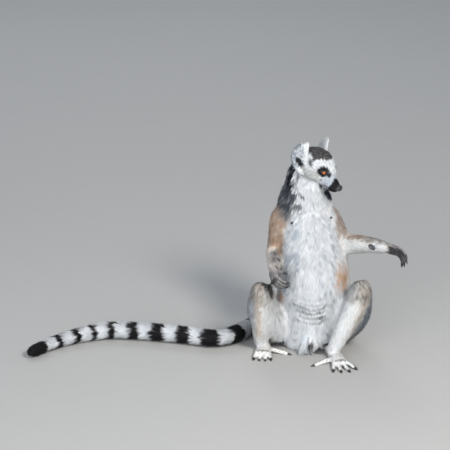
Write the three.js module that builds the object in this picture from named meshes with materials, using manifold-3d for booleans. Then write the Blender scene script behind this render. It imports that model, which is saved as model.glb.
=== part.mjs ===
// A ring-tailed lemur sitting upright in the sun, at life size, as a still museum model.
//
// Units are millimetres and +Z is up. The origin is the middle of the flat of the rump, on the floor.
// The belly faces -Y, the animal's own left side is +X, and the ringed tail lies along the floor to -X.
// Every form reaches out to the tips of the coat. Each is a sphere bent along a spine, and where two
// forms meet the smaller is cut back from the larger by a thin gap.
import * as THREE from "three";
import { mergeVertices } from "three/addons/utils/BufferGeometryUtils.js";
import Module from "manifold-3d";

const wasm = await Module();
wasm.setup();

// ---- Driving dimensions -------------------------------------------------------------------------

const GAP = 0.3; // between neighbouring pieces
const MERGE = 1e-3;
const rad = THREE.MathUtils.degToRad;

// Directions that a form's half-width is measured along.
const LEFT = [1, 0, 0];
const FORWARD = [0, -1, 0];
const UP = [0, 0, 1];

// The head turns to the animal's left and nods a little. Its own frame is +X right, +Y forward, +Z up.
const HEAD_AT = [12, -5, 333];
const HEAD_TURN = 53;
const HEAD_NOD = 13;
const HEAD_TILT = 5;
const EYE_RADIUS = 7.4;
const EYE_AT = [13, 21.4, -0.3];
const ORBIT_RADIUS = 11.2;
const ORBIT_AT = [12.4, 16.2, -0.1];
const NOSE_AT = [0, 52.2, -21.8];
const NOSE_SIZE = [6.2, 5, 4.8];

// Joints of the limbs.
const SHOULDER = { right: [-42, 10, 236], left: [29, 10, 234] };
const ELBOW = { right: [-58.5, 33, 160], left: [52, 14, 183] };
const WRIST = { right: [-63, -45, 161], left: [128, -38, 195] };
const HIP = { right: [-45, 14, 41], left: [52, 12, 38] };
const KNEE = { right: [-82, -55, 122], left: [86.5, -58, 127] };
const ANKLE = { right: [-82, -20, 17], left: [42, -58, 17] };

// Where the tail lies: the middle of its floor-side line, from root to tip, and its radius there.
const TAIL_RADIUS = 18;
const TAIL_TIP_RADIUS = 12.5;
const TAIL_LENGTHS = 6;
const TAIL_SINKS = 1.2; // the coat presses flat on the floor by this much
const TAIL_STATIONS = 24;
const TAIL_ROWS = 30;
const TAIL_ENDS = [0.5, 1.2]; // how far the root and the tip bulge, as a share of their radius
const TAIL_ROUTE = [
  [-4, 50],
  [-44, 70],
  [-88, 58],
  [-122, 16],
  [-156, -10],
  [-200, 2],
  [-250, 16],
  [-300, 26],
  [-350, 30],
  [-395, 14],
  [-440, -16],
  [-476, -56],
];

// ---- Form making --------------------------------------------------------------------------------

const vector = (p) => new THREE.Vector3(...p);

// A sphere bent along a spine. Each station is [centre, [half-width, half-depth in front, half-depth
// behind]]: the width lies along side, and the front along side x spine. The faces run around it, along
// the spine and over the two rounded caps. extra grows it all round.
function bent(stations, { side, around = 10, along = 6, caps = 2, round = [1, 1], extra = 0 }) {
  const spine = new THREE.CatmullRomCurve3(stations.map(([at]) => vector(at)));
  const sizes = new THREE.CatmullRomCurve3(stations.map(([, size]) => vector(size)));
  const rows = along + 2 * caps;
  const form = new THREE.SphereGeometry(1, around, rows);
  const place = form.getAttribute("position");
  const point = new THREE.Vector3();
  for (let i = 0; i < place.count; i++) {
    point.fromBufferAttribute(place, i);
    const row = Math.round((Math.acos(THREE.MathUtils.clamp(point.y, -1, 1)) / Math.PI) * rows);
    const turn = Math.atan2(point.z, point.x);
    const t = THREE.MathUtils.clamp((row - caps) / along, 0, 1);
    const end = t === 0 ? Math.min(row - caps, 0) : Math.max(row - caps - along, 0);
    const swing = (end / caps) * (Math.PI / 2); // how far round the end's cap this row lies
    const size = sizes.getPoint(t);
    const tangent = spine.getTangent(t);
    const across = vector(side).addScaledVector(tangent, -tangent.dot(vector(side))).normalize();
    const front = new THREE.Vector3().crossVectors(across, tangent);
    const width = (size.x + extra) * Math.cos(swing) * Math.cos(turn);
    const half = (Math.sin(turn) > 0 ? size.y : size.z) + extra;
    const depth = half * Math.cos(swing) * Math.sin(turn);
    const reach = (Math.min(size.x, size.y, size.z) * round[end < 0 ? 0 : 1] + extra) * Math.sin(swing);
    point.copy(spine.getPoint(t)).addScaledVector(tangent, reach);
    point.addScaledVector(across, width).addScaledVector(front, depth);
    place.setXYZ(i, point.x, point.y, point.z);
  }
  return form;
}

// A limb segment of round section between two joints, with its radii from the first joint to the last.
function limb(from, to, radii, { bow = [0, 0, 0], side = FORWARD, ...options } = {}) {
  const stations = radii.map((radius, i) => {
    const t = i / (radii.length - 1);
    const at = vector(from).lerp(vector(to), t);
    at.addScaledVector(vector(bow), Math.sin(t * Math.PI));
    const [width, front, back] = Array.isArray(radius) ? radius : [radius, radius, radius];
    return [at.toArray(), [width, front, back ?? front]];
  });
  return bent(stations, { side, ...options });
}

function ellipsoid(at, radii, extra = 0, around = 14) {
  const form = new THREE.SphereGeometry(1, around, Math.round(around * 0.6));
  form.scale(...radii.map((r) => r + extra));
  return form.translate(...at);
}

// ---- Joining and cutting ------------------------------------------------------------------------

function solid(geometry) {
  const bare = new THREE.BufferGeometry().setAttribute("position", geometry.getAttribute("position"));
  if (geometry.index) bare.setIndex(geometry.index);
  const merged = mergeVertices(bare, MERGE);
  let triVerts = new Uint32Array(merged.index.array);
  const make = () => new wasm.Manifold(
    new wasm.Mesh({ numProp: 3, vertProperties: merged.attributes.position.array, triVerts }),
  );
  const made = make();
  if (made.volume() > 0) return made;
  triVerts = triVerts.reverse(); // the bend turned the sphere inside out
  return make();
}

const join = (...geometries) => geometries.map(solid).reduce((a, b) => a.add(b));

// One body: a cut can leave crumbs, and the largest piece is the part.
function largest(made) {
  return made.decompose().reduce((a, b) => (a.volume() > b.volume() ? a : b));
}

function geometryOf(made) {
  const mesh = made.getMesh();
  const geometry = new THREE.BufferGeometry();
  const place = new THREE.BufferAttribute(Float32Array.from(mesh.vertProperties), 3);
  geometry.setAttribute("position", place);
  geometry.setIndex(new THREE.BufferAttribute(Uint32Array.from(mesh.triVerts), 1));
  geometry.computeVertexNormals();
  return geometry;
}

// ---- Colours ------------------------------------------------------------------------------------

const coat = (color) => new THREE.MeshStandardMaterial({ color, roughness: 0.85, metalness: 0 });
const WHITE_COAT = coat(0xe6e4df);
const GREY_COAT = coat(0x9a8f86);
const RING_COAT = coat(0x77736f);
const BARE_SKIN = new THREE.MeshStandardMaterial({ color: 0x2a2829, roughness: 0.6, metalness: 0 });
const WET_NOSE = new THREE.MeshStandardMaterial({ color: 0x121212, roughness: 0.35, metalness: 0 });
const AMBER_EYE = new THREE.MeshStandardMaterial({ color: 0xc8620c, roughness: 0.1, metalness: 0 });

const lemur = new THREE.Group();

// ---- Head ---------------------------------------------------------------------------------------

const HEAD_FRAME = new THREE.Matrix4()
  .makeRotationFromEuler(new THREE.Euler(rad(-HEAD_NOD), rad(-HEAD_TILT), rad(180 + HEAD_TURN), "ZXY"))
  .setPosition(vector(HEAD_AT));

// From the back of the skull to the lips: half-width, then height above and below the line.
const HEAD_STATIONS = [
  [[0, -26, 0], [27, 23, 24]],
  [[0, -10, -1], [32, 30.5, 28]],
  [[0, 4, -3], [31, 31.5, 29]],
  [[0, 14, -5], [25, 27.5, 27]],
  [[0, 22, -8], [18, 21, 25]],
  [[0, 29, -13], [13.6, 15, 20.5]],
  [[0, 36, -18], [12, 10.8, 15.5]],
  [[0, 43.5, -22.5], [11.2, 10.2, 11.5]],
  [[0, 49, -24], [8.6, 7.2, 8]],
];

const bothSides = ([x, y, z]) => [[x, y, z], [-x, y, z]];

function headForm(extra = 0) {
  const skull = bent(HEAD_STATIONS, { side: LEFT, around: 16, along: 12, round: [0.6, 0.6], extra });
  const orbits = bothSides(ORBIT_AT).map((at) => ellipsoid(at, Array(3).fill(ORBIT_RADIUS), extra, 12));
  return join(skull, ...orbits);
}

const EAR_FACES = 30; // degrees forward of straight out
const EAR_SIDE = [-Math.sin(rad(EAR_FACES)), Math.cos(rad(EAR_FACES)), 0];
const EAR_OUT = [Math.cos(rad(EAR_FACES)), Math.sin(rad(EAR_FACES)), 0];
const EAR_STATIONS = [
  [[27, -8, -11], [8, 6, 6]],
  [[33, -15, 2], [14.5, 6.5, 6.5]],
  [[35, -17, 13.5], [16.5, 5.5, 5.5]],
  [[34.5, -15.5, 25], [13, 4.5, 4.5]],
  [[32.5, -11, 36.5], [5, 2.5, 2.5]],
];

// The right ear: a leaf with a hollow scooped from its outer face.
function earForm(extra) {
  const leaf = bent(EAR_STATIONS, { side: EAR_SIDE, around: 10, along: 5, extra });
  const scoop = EAR_STATIONS.map(([at, [width, front]]) => [
    at.map((v, i) => v + EAR_OUT[i] * front * 1.15),
    [width * 0.72, front * 0.95, front * 0.95],
  ]);
  return solid(leaf).subtract(solid(bent(scoop, { side: EAR_SIDE, around: 8, along: 4 })));
}

const eyeBall = (at, extra = 0) => solid(ellipsoid(at, Array(3).fill(EYE_RADIUS), extra, 12));
const nosePad = (extra = 0) => solid(ellipsoid(NOSE_AT, NOSE_SIZE, extra, 10));

// The face's pieces are made in the head's own frame, then put where the head is held.
const held = (made, mirrored = false) => {
  const turned = geometryOf(mirrored ? made.scale([-1, 1, 1]) : made);
  return solid(turned.applyMatrix4(HEAD_FRAME));
};

// ---- Trunk and neck -----------------------------------------------------------------------------

// From the rump to the shoulders: half-width, belly, back.
const TRUNK_STATIONS = [
  [[3, 6, 8], [57, 46, 46]],
  [[4, 10, 38], [61, 52, 54]],
  [[6, 9, 80], [63, 61, 56]],
  [[9.5, 7, 120], [64.5, 66, 54]],
  [[9, 7, 158], [59, 58, 50]],
  [[4, 8, 196], [51, 49, 46]],
  [[1, 10, 222], [48, 43, 42]],
  [[-2, 12, 240], [45, 38, 38]],
];
const GROIN_AT = [2, -38, 23];
const GROIN_SIZE = [22, 17, 20];

const trunkForm = (extra) => join(
  bent(TRUNK_STATIONS, { side: LEFT, around: 18, along: 10, round: [0.3, 0.6], extra }),
  ellipsoid(GROIN_AT, GROIN_SIZE, extra, 12),
);

const NECK_STATIONS = [
  [[-3, 12, 238], [32, 27, 27]],
  [[-7, 12, 261], [52.5, 37, 38]],
  [[-6, 12, 276], [46, 36.5, 38]],
  [[-4.5, 11, 290], [41.5, 36, 37]],
  [[-4, 7, 312], [37, 32, 35]],
  [[-5, 5, 327], [34.5, 27, 32]],
];

const neckForm = (extra) => solid(
  bent(NECK_STATIONS, { side: LEFT, around: 14, round: [0.2, 0.6], extra }),
);

// ---- Hands and feet -----------------------------------------------------------------------------

// A hand or foot in its own frame: the wrist or heel at the origin, +X to the knuckles, +Y to the thumb
// or big toe, +Z the back of the hand. Digits are [across, length, splay in degrees, curl in degrees].
function paw({ length, widths, depths, radius, digits, thumb, at }, extra) {
  const stations = widths.map((width, i) => {
    const t = i / (widths.length - 1);
    return [[length * t, 0, 0], [width, depths[i], depths[i]]];
  });
  const palm = bent(stations, { side: [0, 1, 0], around: 8, along: 3, round: [0.7, 0.5], extra });
  const fingers = digits.map(([across, ...bend]) => (
    digit([length - radius, across, 0], radius, bend, extra)
  ));
  const [back, across, ...bend] = thumb;
  fingers.push(digit([length * back, across, -1], radius * THUMB_SHARE, bend, extra));
  return solid(geometryOf(join(palm, ...fingers)).applyMatrix4(at));
}

// A digit of three bones that bends further towards the palm at each knuckle.
function digit(from, radius, [reach, splay, curl], extra) {
  const at = vector(from);
  const stations = [[at.toArray(), Array(3).fill(radius)]];
  for (let bone = 1; bone <= 3; bone++) {
    const drop = rad(curl * bone);
    const step = new THREE.Vector3(
      Math.cos(rad(splay)) * Math.cos(drop),
      Math.sin(rad(splay)) * Math.cos(drop),
      -Math.sin(drop),
    );
    at.addScaledVector(step, reach / 3);
    stations.push([at.toArray(), Array(3).fill(radius * (1 - DIGIT_TAPER * bone))]);
  }
  return bent(stations, { side: [0, 1, 0.01], around: 6, along: 3, caps: 1, extra });
}

// Puts a paw so that +X points from one point to another and +Z leans towards the back direction.
function placed(from, to, back, mirrored) {
  const ahead = vector(to).sub(vector(from)).normalize();
  const across = new THREE.Vector3().crossVectors(vector(back), ahead).normalize();
  const over = new THREE.Vector3().crossVectors(ahead, across);
  if (mirrored) across.negate();
  return new THREE.Matrix4().makeBasis(ahead, across, over).setPosition(vector(from));
}

const THUMB_SHARE = 1.1; // of the other digits' radius
const DIGIT_TAPER = 0.09; // of the radius, at each bone
const HAND = {
  length: 26, widths: [10.5, 12.5, 13.5], depths: [9.5, 8, 5.5], radius: 3.3,
  thumb: [0.4, 8.5, 22, 48, 14],
};
const FOOT = {
  length: 62, widths: [10, 11, 14, 15], depths: [10, 9, 8, 6.5], radius: 4.1,
  thumb: [0.66, 10, 38, 74, 4],
};

// Digits from the inner side outwards.
const RESTING_FINGERS = [[10, 24, 12, 26], [3.4, 28, 3, 28], [-3.4, 28, -6, 30], [-10, 24, -16, 32]];
const HANGING_FINGERS = [[10, 25, 12, 18], [3.4, 29, 4, 20], [-3.4, 29, -4, 24], [-10, 25, -12, 26]];
const SPREAD_TOES = [[11, 28, 16, 4], [3.8, 32, 4, 4], [-3.8, 33, -8, 4], [-11, 28, -24, 4]];
const CURLED_TOES = [[11, 22, 10, 7], [3.8, 25, 3, 8], [-3.8, 25, -4, 8], [-11, 22, -12, 7]];

// Each paw points from its wrist or heel along a line, with its back turned one way.
const PAWS = {
  right_hand: {
    ...HAND, digits: RESTING_FINGERS,
    at: placed(WRIST.right, [-59.5, -61, 146], [-0.9, -0.42, 0.1], false),
  },
  left_hand: {
    ...HAND, digits: HANGING_FINGERS,
    at: placed(WRIST.left, [152, -44, 189], [0.3, 0.7, 0.65], true),
  },
  right_foot: { ...FOOT, digits: CURLED_TOES, at: placed([-76, 8, 8], [-80, -55, 6], UP, false) },
  left_foot: { ...FOOT, digits: SPREAD_TOES, at: placed([38, -38, 8], [52, -98, 6], UP, true) },
};

// ---- Limbs --------------------------------------------------------------------------------------

const THIGH = { around: 12, side: [0, 24, -14] }; // its width lies along the way behind the knee
const THIGH_RADII = [[40, 40], [38, 35], [32, 29], [23, 21]];

// In the order in which they give way to one another.
const LIMB_FORMS = {
  right_forearm: (extra) => (
    limb(ELBOW.right, WRIST.right, [17.5, 16.5, 14, 12], { extra, side: UP, bow: [1, 0, 0] })
  ),
  left_forearm: (extra) => (
    limb(ELBOW.left, WRIST.left, [20.5, 18.5, 16, 12], { extra, side: UP, bow: [0, 0, 2.5] })
  ),
  right_upper_arm: (extra) => (
    limb(SHOULDER.right, ELBOW.right, [26, 24, 18.5, 17.5], { extra, bow: [-1, 2, 0] })
  ),
  left_upper_arm: (extra) => (
    limb(SHOULDER.left, ELBOW.left, [26, 24, 22, 19], { extra, bow: [3, 0, 0] })
  ),
  right_thigh: (extra) => (
    limb(HIP.right, KNEE.right, THIGH_RADII, { ...THIGH, extra, bow: [-12, -2, -14] })
  ),
  left_thigh: (extra) => (
    limb(HIP.left, KNEE.left, THIGH_RADII, { ...THIGH, extra, bow: [8, -2, -12] })
  ),
  right_shank: (extra) => (
    limb(KNEE.right, ANKLE.right, [17, 19.5, 19, 14.5], { extra, bow: [0, -3, 0] })
  ),
  left_shank: (extra) => (
    limb(KNEE.left, ANKLE.left, [17, 19.5, 18, 13], { extra, bow: [3, -2, 0] })
  ),
};

// ---- Tail ---------------------------------------------------------------------------------------

const tailRadius = (t) => (
  THREE.MathUtils.lerp(TAIL_RADIUS, TAIL_TIP_RADIUS, THREE.MathUtils.smoothstep(t, 0.66, 1))
);

const tailLine = new THREE.CatmullRomCurve3(
  TAIL_ROUTE.map(([x, y], i) => (
    new THREE.Vector3(x, y, tailRadius(i / (TAIL_ROUTE.length - 1)) - TAIL_SINKS)
  )),
);

function wholeTail(extra) {
  const stations = Array.from({ length: TAIL_STATIONS }, (_, i) => {
    const t = i / (TAIL_STATIONS - 1);
    return [tailLine.getPointAt(t).toArray(), Array(3).fill(tailRadius(t))];
  });
  return solid(bent(stations, { side: UP, along: TAIL_ROWS, round: TAIL_ENDS, extra }));
}

// What lies on one side of a thin cut across the tail: towards the tip for 1, towards the root for -1.
function pastCut(made, share, way) {
  const normal = tailLine.getTangentAt(share).multiplyScalar(way);
  return made.trimByPlane(normal.toArray(), normal.dot(tailLine.getPointAt(share)) + GAP / 2);
}

function tailLength(number, extra) {
  let length = wholeTail(extra);
  if (number > 0) length = pastCut(length, number / TAIL_LENGTHS, 1);
  if (number < TAIL_LENGTHS - 1) length = pastCut(length, (number + 1) / TAIL_LENGTHS, -1);
  return largest(length);
}

// ---- Assembly -----------------------------------------------------------------------------------

// Each form gives way to those before it: it is cut back from them by the gap.
const [RIGHT_EYE_AT, LEFT_EYE_AT] = bothSides(EYE_AT);
const FORMS = [
  ["trunk", trunkForm, WHITE_COAT],
  ["right_eye", (extra) => held(eyeBall(RIGHT_EYE_AT, extra)), AMBER_EYE],
  ["left_eye", (extra) => held(eyeBall(LEFT_EYE_AT, extra)), AMBER_EYE],
  ["nose", (extra) => held(nosePad(extra)), WET_NOSE],
  ["head", (extra) => held(headForm(extra)), WHITE_COAT],
  ["neck", neckForm, WHITE_COAT],
  ["right_ear", (extra) => held(earForm(extra)), WHITE_COAT],
  ["left_ear", (extra) => held(earForm(extra), true), WHITE_COAT],
  ...Object.entries(PAWS).map(([name, shape]) => [name, (extra) => paw(shape, extra), BARE_SKIN]),
  ...Object.entries(LIMB_FORMS).map(([name, segment]) => [
    name, (extra) => solid(segment(extra)), GREY_COAT,
  ]),
  ...Array.from({ length: TAIL_LENGTHS }, (_, i) => [
    `tail_${i + 1}`, (extra) => tailLength(i, extra), RING_COAT,
  ]),
];

const boxesMeet = (a, b) => (
  [0, 1, 2].every((i) => a.min[i] < b.max[i] + GAP && b.min[i] < a.max[i] + GAP)
);

const earlier = [];
for (const [name, form, material] of FORMS) {
  const whole = form(0);
  const box = whole.boundingBox();
  const inTheWay = earlier.filter((other) => boxesMeet(box, other.box));
  const cut = inTheWay.reduce((made, other) => made.subtract(other.grown), whole);
  const mesh = new THREE.Mesh(geometryOf(largest(cut.trimByPlane(UP, 0))), material);
  mesh.name = name;
  lemur.add(mesh);
  earlier.push({ box, grown: form(GAP) });
}

export default lemur;
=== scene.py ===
import math

import bmesh
import bpy
import numpy as np
from bpy.props import FloatProperty, FloatVectorProperty, PointerProperty
from mathutils import Matrix, Vector
from mathutils.bvhtree import BVHTree
from mathutils.kdtree import KDTree


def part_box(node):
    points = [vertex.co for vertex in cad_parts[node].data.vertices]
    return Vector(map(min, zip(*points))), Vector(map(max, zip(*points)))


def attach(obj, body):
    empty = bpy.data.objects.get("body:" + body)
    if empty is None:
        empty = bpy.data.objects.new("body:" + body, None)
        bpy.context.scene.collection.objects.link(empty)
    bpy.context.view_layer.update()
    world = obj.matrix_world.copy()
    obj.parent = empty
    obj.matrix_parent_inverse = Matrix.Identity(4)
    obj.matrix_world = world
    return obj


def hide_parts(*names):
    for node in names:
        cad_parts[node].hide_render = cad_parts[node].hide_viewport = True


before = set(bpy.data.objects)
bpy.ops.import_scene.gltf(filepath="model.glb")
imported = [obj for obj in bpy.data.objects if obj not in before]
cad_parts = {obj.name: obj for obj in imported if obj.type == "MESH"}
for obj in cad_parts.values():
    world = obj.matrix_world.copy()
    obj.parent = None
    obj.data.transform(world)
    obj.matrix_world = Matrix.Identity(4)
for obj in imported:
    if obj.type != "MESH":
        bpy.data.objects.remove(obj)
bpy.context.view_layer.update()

bl_info = {
    "name": "Ring-tailed Lemur",
    "version": (1, 0, 0),
    "blender": (4, 5, 0),
    "location": "View3D > Sidebar > Lemur",
    "description": "Dresses the lemur's solids with one skin, a coat, eyes, nose and nails",
    "category": "Object",
}

MM = 0.001
UV_NAME = "OFBake"
TONE = "Tone"  # the colour attribute that skin and coat share
BARE = "Bare"  # 1 where the skin is leather, 0 where it is furred
PATCH = 0.003  # a tuft's own patch on the unwrap of the skin

# ---- Places on the body, in mm ------------------------------------------------------------------

HEAD_AT = np.array([12.0, -5.0, 333.0])
HEAD_TURN, HEAD_NOD, HEAD_TILT = 53, 13, 5
HEAD_AXES = np.array(
    Matrix.Rotation(math.radians(180 + HEAD_TURN), 3, "Z")
    @ Matrix.Rotation(math.radians(-HEAD_NOD), 3, "X")
    @ Matrix.Rotation(math.radians(-HEAD_TILT), 3, "Y")
)  # columns: the head's right, forward and up
EYE_AT = np.array([13.0, 21.4, -0.3])
EYE_RADIUS = 7.4
EYE_TURN = 0.22  # how far each eye looks forward of the way that its socket faces
CORNEA = 0.25  # mm that the eyeball bulges before its pupil
NOSE_AT = np.array([0.0, 52.2, -21.8])
NOSE_SIZE = np.array([7.7, 5.7, 5.8])
MUZZLE_FROM = np.array([0.0, 54.0, -20.0])  # the coat of the head flows back from here
EAR_ROOT = np.array([33.0, -10.0, -8.0])  # and the coat of the ear from here

JOINTS = {
    "right_upper_arm": ([-42, 10, 236], [-58.5, 33, 160]),
    "left_upper_arm": ([29, 10, 234], [52, 14, 183]),
    "right_forearm": ([-58.5, 33, 160], [-63, -45, 161]),
    "left_forearm": ([52, 14, 183], [128, -38, 195]),
    "right_thigh": ([-45, 14, 41], [-82, -55, 122]),
    "left_thigh": ([52, 12, 38], [86.5, -58, 127]),
    "right_shank": ([-82, -55, 122], [-82, -20, 17]),
    "left_shank": ([86.5, -58, 127], [42, -58, 17]),
}
TAIL_ROUTE = [
    [-4, 50], [-44, 70], [-88, 58], [-122, 16], [-156, -10], [-200, 2], [-250, 16],
    [-300, 26], [-350, 30], [-395, 14], [-440, -16], [-476, -56],
]

# Hands and feet: from the wrist or heel, towards the knuckles, the way the back of it faces, and
# whether it is a left one, then its length, a digit's radius, and the digits with the thumb or big
# toe. A digit is its place across the paw, its length, splay and curl. The thumb and the big toe
# have their place along the paw, as a share of it, before these.
HAND_LENGTH, FOOT_LENGTH = 26, 62
HAND_RADIUS, FOOT_RADIUS = 3.3, 4.1
RESTING_FINGERS = [[10, 24, 12, 26], [3.4, 28, 3, 28], [-3.4, 28, -6, 30], [-10, 24, -16, 32]]
HANGING_FINGERS = [[10, 25, 12, 18], [3.4, 29, 4, 20], [-3.4, 29, -4, 24], [-10, 25, -12, 26]]
SPREAD_TOES = [[11, 28, 16, 4], [3.8, 32, 4, 4], [-3.8, 33, -8, 4], [-11, 28, -24, 4]]
CURLED_TOES = [[11, 22, 10, 7], [3.8, 25, 3, 8], [-3.8, 25, -4, 8], [-11, 22, -12, 7]]
THUMB, BIG_TOE = [0.4, 8.5, 22, 48, 14], [0.66, 10, 38, 74, 4]
PAWS = {
    "right_hand": ([-63, -45, 161], [-59.5, -61, 146], [-0.9, -0.42, 0.1], False,
                   HAND_LENGTH, HAND_RADIUS, RESTING_FINGERS, THUMB),
    "left_hand": ([128, -38, 195], [152, -44, 189], [0.3, 0.7, 0.65], True,
                  HAND_LENGTH, HAND_RADIUS, HANGING_FINGERS, THUMB),
    "right_foot": ([-76, 8, 8], [-80, -55, 6], [0, 0, 1], False,
                   FOOT_LENGTH, FOOT_RADIUS, CURLED_TOES, BIG_TOE),
    "left_foot": ([38, -38, 8], [52, -98, 6], [0, 0, 1], True,
                  FOOT_LENGTH, FOOT_RADIUS, SPREAD_TOES, BIG_TOE),
}
THUMB_SHARE, DIGIT_TAPER = 1.1, 0.09
NAIL_FLOOR = 0.0002  # metres above the floor, below which no nail reaches

HARD_NODES = ("right_eye", "left_eye", "nose")
FLESH = [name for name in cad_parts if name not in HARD_NODES]
GROUPS = [
    "head", "ear", "neck", "trunk", "upper_arm", "forearm", "hand",
    "thigh", "shank", "foot", "tail",
]

# The coat on each group but the head, which head_coat gives: its depth over the skin, then a tuft's
# length and width, all in mm, how many tufts grow on a square centimetre of skin, and how far they
# stand off it, from 0 to 1.
COAT = {
    "ear": (1.3, 5.4, 0.55, 560, 0.75),
    "neck": (9.0, 18.0, 0.95, 235, 0.3),
    "trunk": (8.0, 17.0, 1.15, 135, 0.14),
    "upper_arm": (6.0, 13.0, 1.05, 150, 0.14),
    "forearm": (4.5, 10.0, 0.9, 170, 0.16),
    "hand": (0.35, 3.4, 0.42, 275, 0.3),
    "thigh": (7.0, 14.0, 1.15, 125, 0.16),
    "shank": (4.5, 10.0, 0.9, 200, 0.16),
    "foot": (0.6, 5.2, 0.5, 275, 0.45),
    "tail": (8.5, 16.0, 1.05, 165, 0.25),
}


def group_of(node):
    """The kind of body part that a node is, so that left and right ones share their values."""
    return next(name for name in GROUPS if ("_" + node + "_").find("_" + name + "_") >= 0)


# ---- Small maths --------------------------------------------------------------------------------


def step(values, low, high):
    """0 below low, 1 above high, smooth between. With low above high it falls instead."""
    t = np.clip((values - low) / (high - low), 0, 1)
    return t * t * (3 - 2 * t)


def unit(vectors):
    return vectors / np.maximum(np.linalg.norm(vectors, axis=-1, keepdims=True), 1e-12)


def dots(a, b):
    return np.sum(a * b, axis=-1, keepdims=True)


def mixed(a, b, share):
    """a where share is 0, b where it is 1."""
    share = np.asarray(share)
    if share.ndim:
        share = share[:, None]
    return np.asarray(a) * (1 - share) + np.asarray(b) * share


def wobble(points, size, seed):
    """Smooth noise from -1 to 1 with bumps of about the given size, the same for skin and coat."""
    rng = np.random.default_rng(seed)
    total = np.zeros(len(points))
    for _ in range(7):
        way = unit(rng.normal(size=3)) * rng.uniform(0.7, 1.6) * math.tau / (2.2 * size)
        total += np.sin(points @ way + rng.uniform(0, math.tau))
    return np.clip(total / 3.2, -1, 1)


def streaks(points, way, size, seed, stretch=6):
    """Noise drawn out along a direction, as the gaps between locks of hair are."""
    way = unit(np.asarray(way, float))
    return wobble(points - dots(points, way) * way * (1 - 1 / stretch), size, seed)


def head_place(points):
    """Points in mm in the head's own frame: right, forward, up."""
    return (points - HEAD_AT) @ HEAD_AXES


def folded_over(local):
    """Points of the head's own frame, with its left half laid over the right one."""
    return np.column_stack([np.abs(local[:, 0]), local[:, 1], local[:, 2]])


def on_own_side(local, place):
    """A place of the head's right half, carried over to the half that each point lies on."""
    ones = np.ones(len(local))
    return place * np.column_stack([np.sign(local[:, 0]), ones, ones])


def near_line(points, line):
    """How far each point lies from a line of points."""
    line = np.asarray(line, float)
    best = np.full(len(points), np.inf)
    for a, b in zip(line[:-1], line[1:]):
        along = np.clip((points - a) @ (b - a) / ((b - a) @ (b - a)), 0, 1)
        best = np.minimum(best, np.linalg.norm(points - a - along[:, None] * (b - a), axis=1))
    return best


def smooth_route(route, count):
    """A curve through the tail's points, and the length along it at each of its points."""
    ends = [2 * route[0] - route[1], *route, 2 * route[-1] - route[-2]]
    found = []
    for a, b, c, d in zip(ends[:-3], ends[1:-2], ends[2:-1], ends[3:]):
        for t in np.arange(count) / count:
            found.append(
                0.5 * (2 * b + (c - a) * t + (2 * a - 5 * b + 4 * c - d) * t**2
                       + (3 * b - a - 3 * c + d) * t**3)
            )
    found = np.array([*found, route[-1]])
    run = np.concatenate([[0], np.cumsum(np.linalg.norm(np.diff(found, axis=0), axis=1))])
    return found, run


TAIL_LINE, TAIL_RUN = smooth_route([np.array(p, float) for p in TAIL_ROUTE], 12)
TAIL_LENGTH = TAIL_RUN[-1]


def along_tail(points):
    """The length along the tail at each point, and the tail's direction there."""
    gap = points[:, None, :2] - TAIL_LINE[None]
    nearest = np.clip(np.argmin(np.sum(gap**2, axis=2), axis=1), 1, len(TAIL_LINE) - 2)
    way = unit(TAIL_LINE[nearest + 1] - TAIL_LINE[nearest - 1])
    run = TAIL_RUN[nearest] + np.sum((points[:, :2] - TAIL_LINE[nearest]) * way, axis=1)
    return run, np.column_stack([way, np.zeros(len(points))])


# ---- Meshes and arrays --------------------------------------------------------------------------


def read_array(items, key, width, kind=np.float32):
    found = np.empty(len(items) * width, kind)
    items.foreach_get(key, found)
    return found.reshape(-1, width)


def read_points(mesh):
    return read_array(mesh.vertices, "co", 3).astype(float)


def write_points(mesh, points):
    mesh.vertices.foreach_set("co", points.astype(np.float32).ravel())
    mesh.update()


def read_normals(mesh):
    return read_array(mesh.vertex_normals, "vector", 3).astype(float)


def triangles_of(mesh):
    mesh.calc_loop_triangles()
    return read_array(mesh.loop_triangles, "vertices", 3, np.int32)


class Net:
    """A mesh's neighbours, for smoothing values along its surface."""

    def __init__(self, mesh):
        a, b = read_array(mesh.edges, "vertices", 2, np.int32).T
        start, self.to = np.concatenate([a, b]), np.concatenate([b, a])
        order = np.argsort(start, kind="stable")
        self.to = self.to[order]
        self.count = np.bincount(start, minlength=len(mesh.vertices)).astype(float)
        self.first = np.concatenate([[0], np.cumsum(self.count)[:-1]]).astype(int)

    def mean(self, values):
        total = np.add.reduceat(values[self.to], self.first, axis=0)
        return total / (self.count[:, None] if values.ndim > 1 else self.count)

    def smooth(self, values, times, share=0.5):
        share = np.asarray(share)
        share = share[:, None] if share.ndim and values.ndim > 1 else share
        for _ in range(times):
            values = values + (self.mean(values) - values) * share
        return values


def add_piece(name, mesh, material, replaces=()):
    piece = bpy.data.objects.new(name, mesh)
    bpy.context.scene.collection.objects.link(piece)
    mesh.materials.append(material)
    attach(piece, "root")
    if replaces:
        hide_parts(*replaces)
    return piece


def shade_smooth(mesh):
    mesh.polygons.foreach_set("use_smooth", np.ones(len(mesh.polygons), bool))


def mesh_of(name, bm):
    """Ends a bmesh as a smooth-shaded mesh in metres."""
    bmesh.ops.remove_doubles(bm, verts=bm.verts, dist=1e-7)
    bmesh.ops.recalc_face_normals(bm, faces=bm.faces)
    mesh = bpy.data.meshes.new(name)
    bm.to_mesh(mesh)
    bm.free()
    shade_smooth(mesh)
    return mesh


def write_colours(mesh, name, colours):
    layer = mesh.color_attributes.new(name, "FLOAT_COLOR", "POINT")
    values = np.ones((len(colours), 4), np.float32)
    values[:, :3] = colours
    layer.data.foreach_set("color", values.ravel())


def write_values(mesh, name, values):
    layer = mesh.attributes.new(name, "FLOAT", "POINT")
    layer.data.foreach_set("value", values.astype(np.float32))


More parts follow.
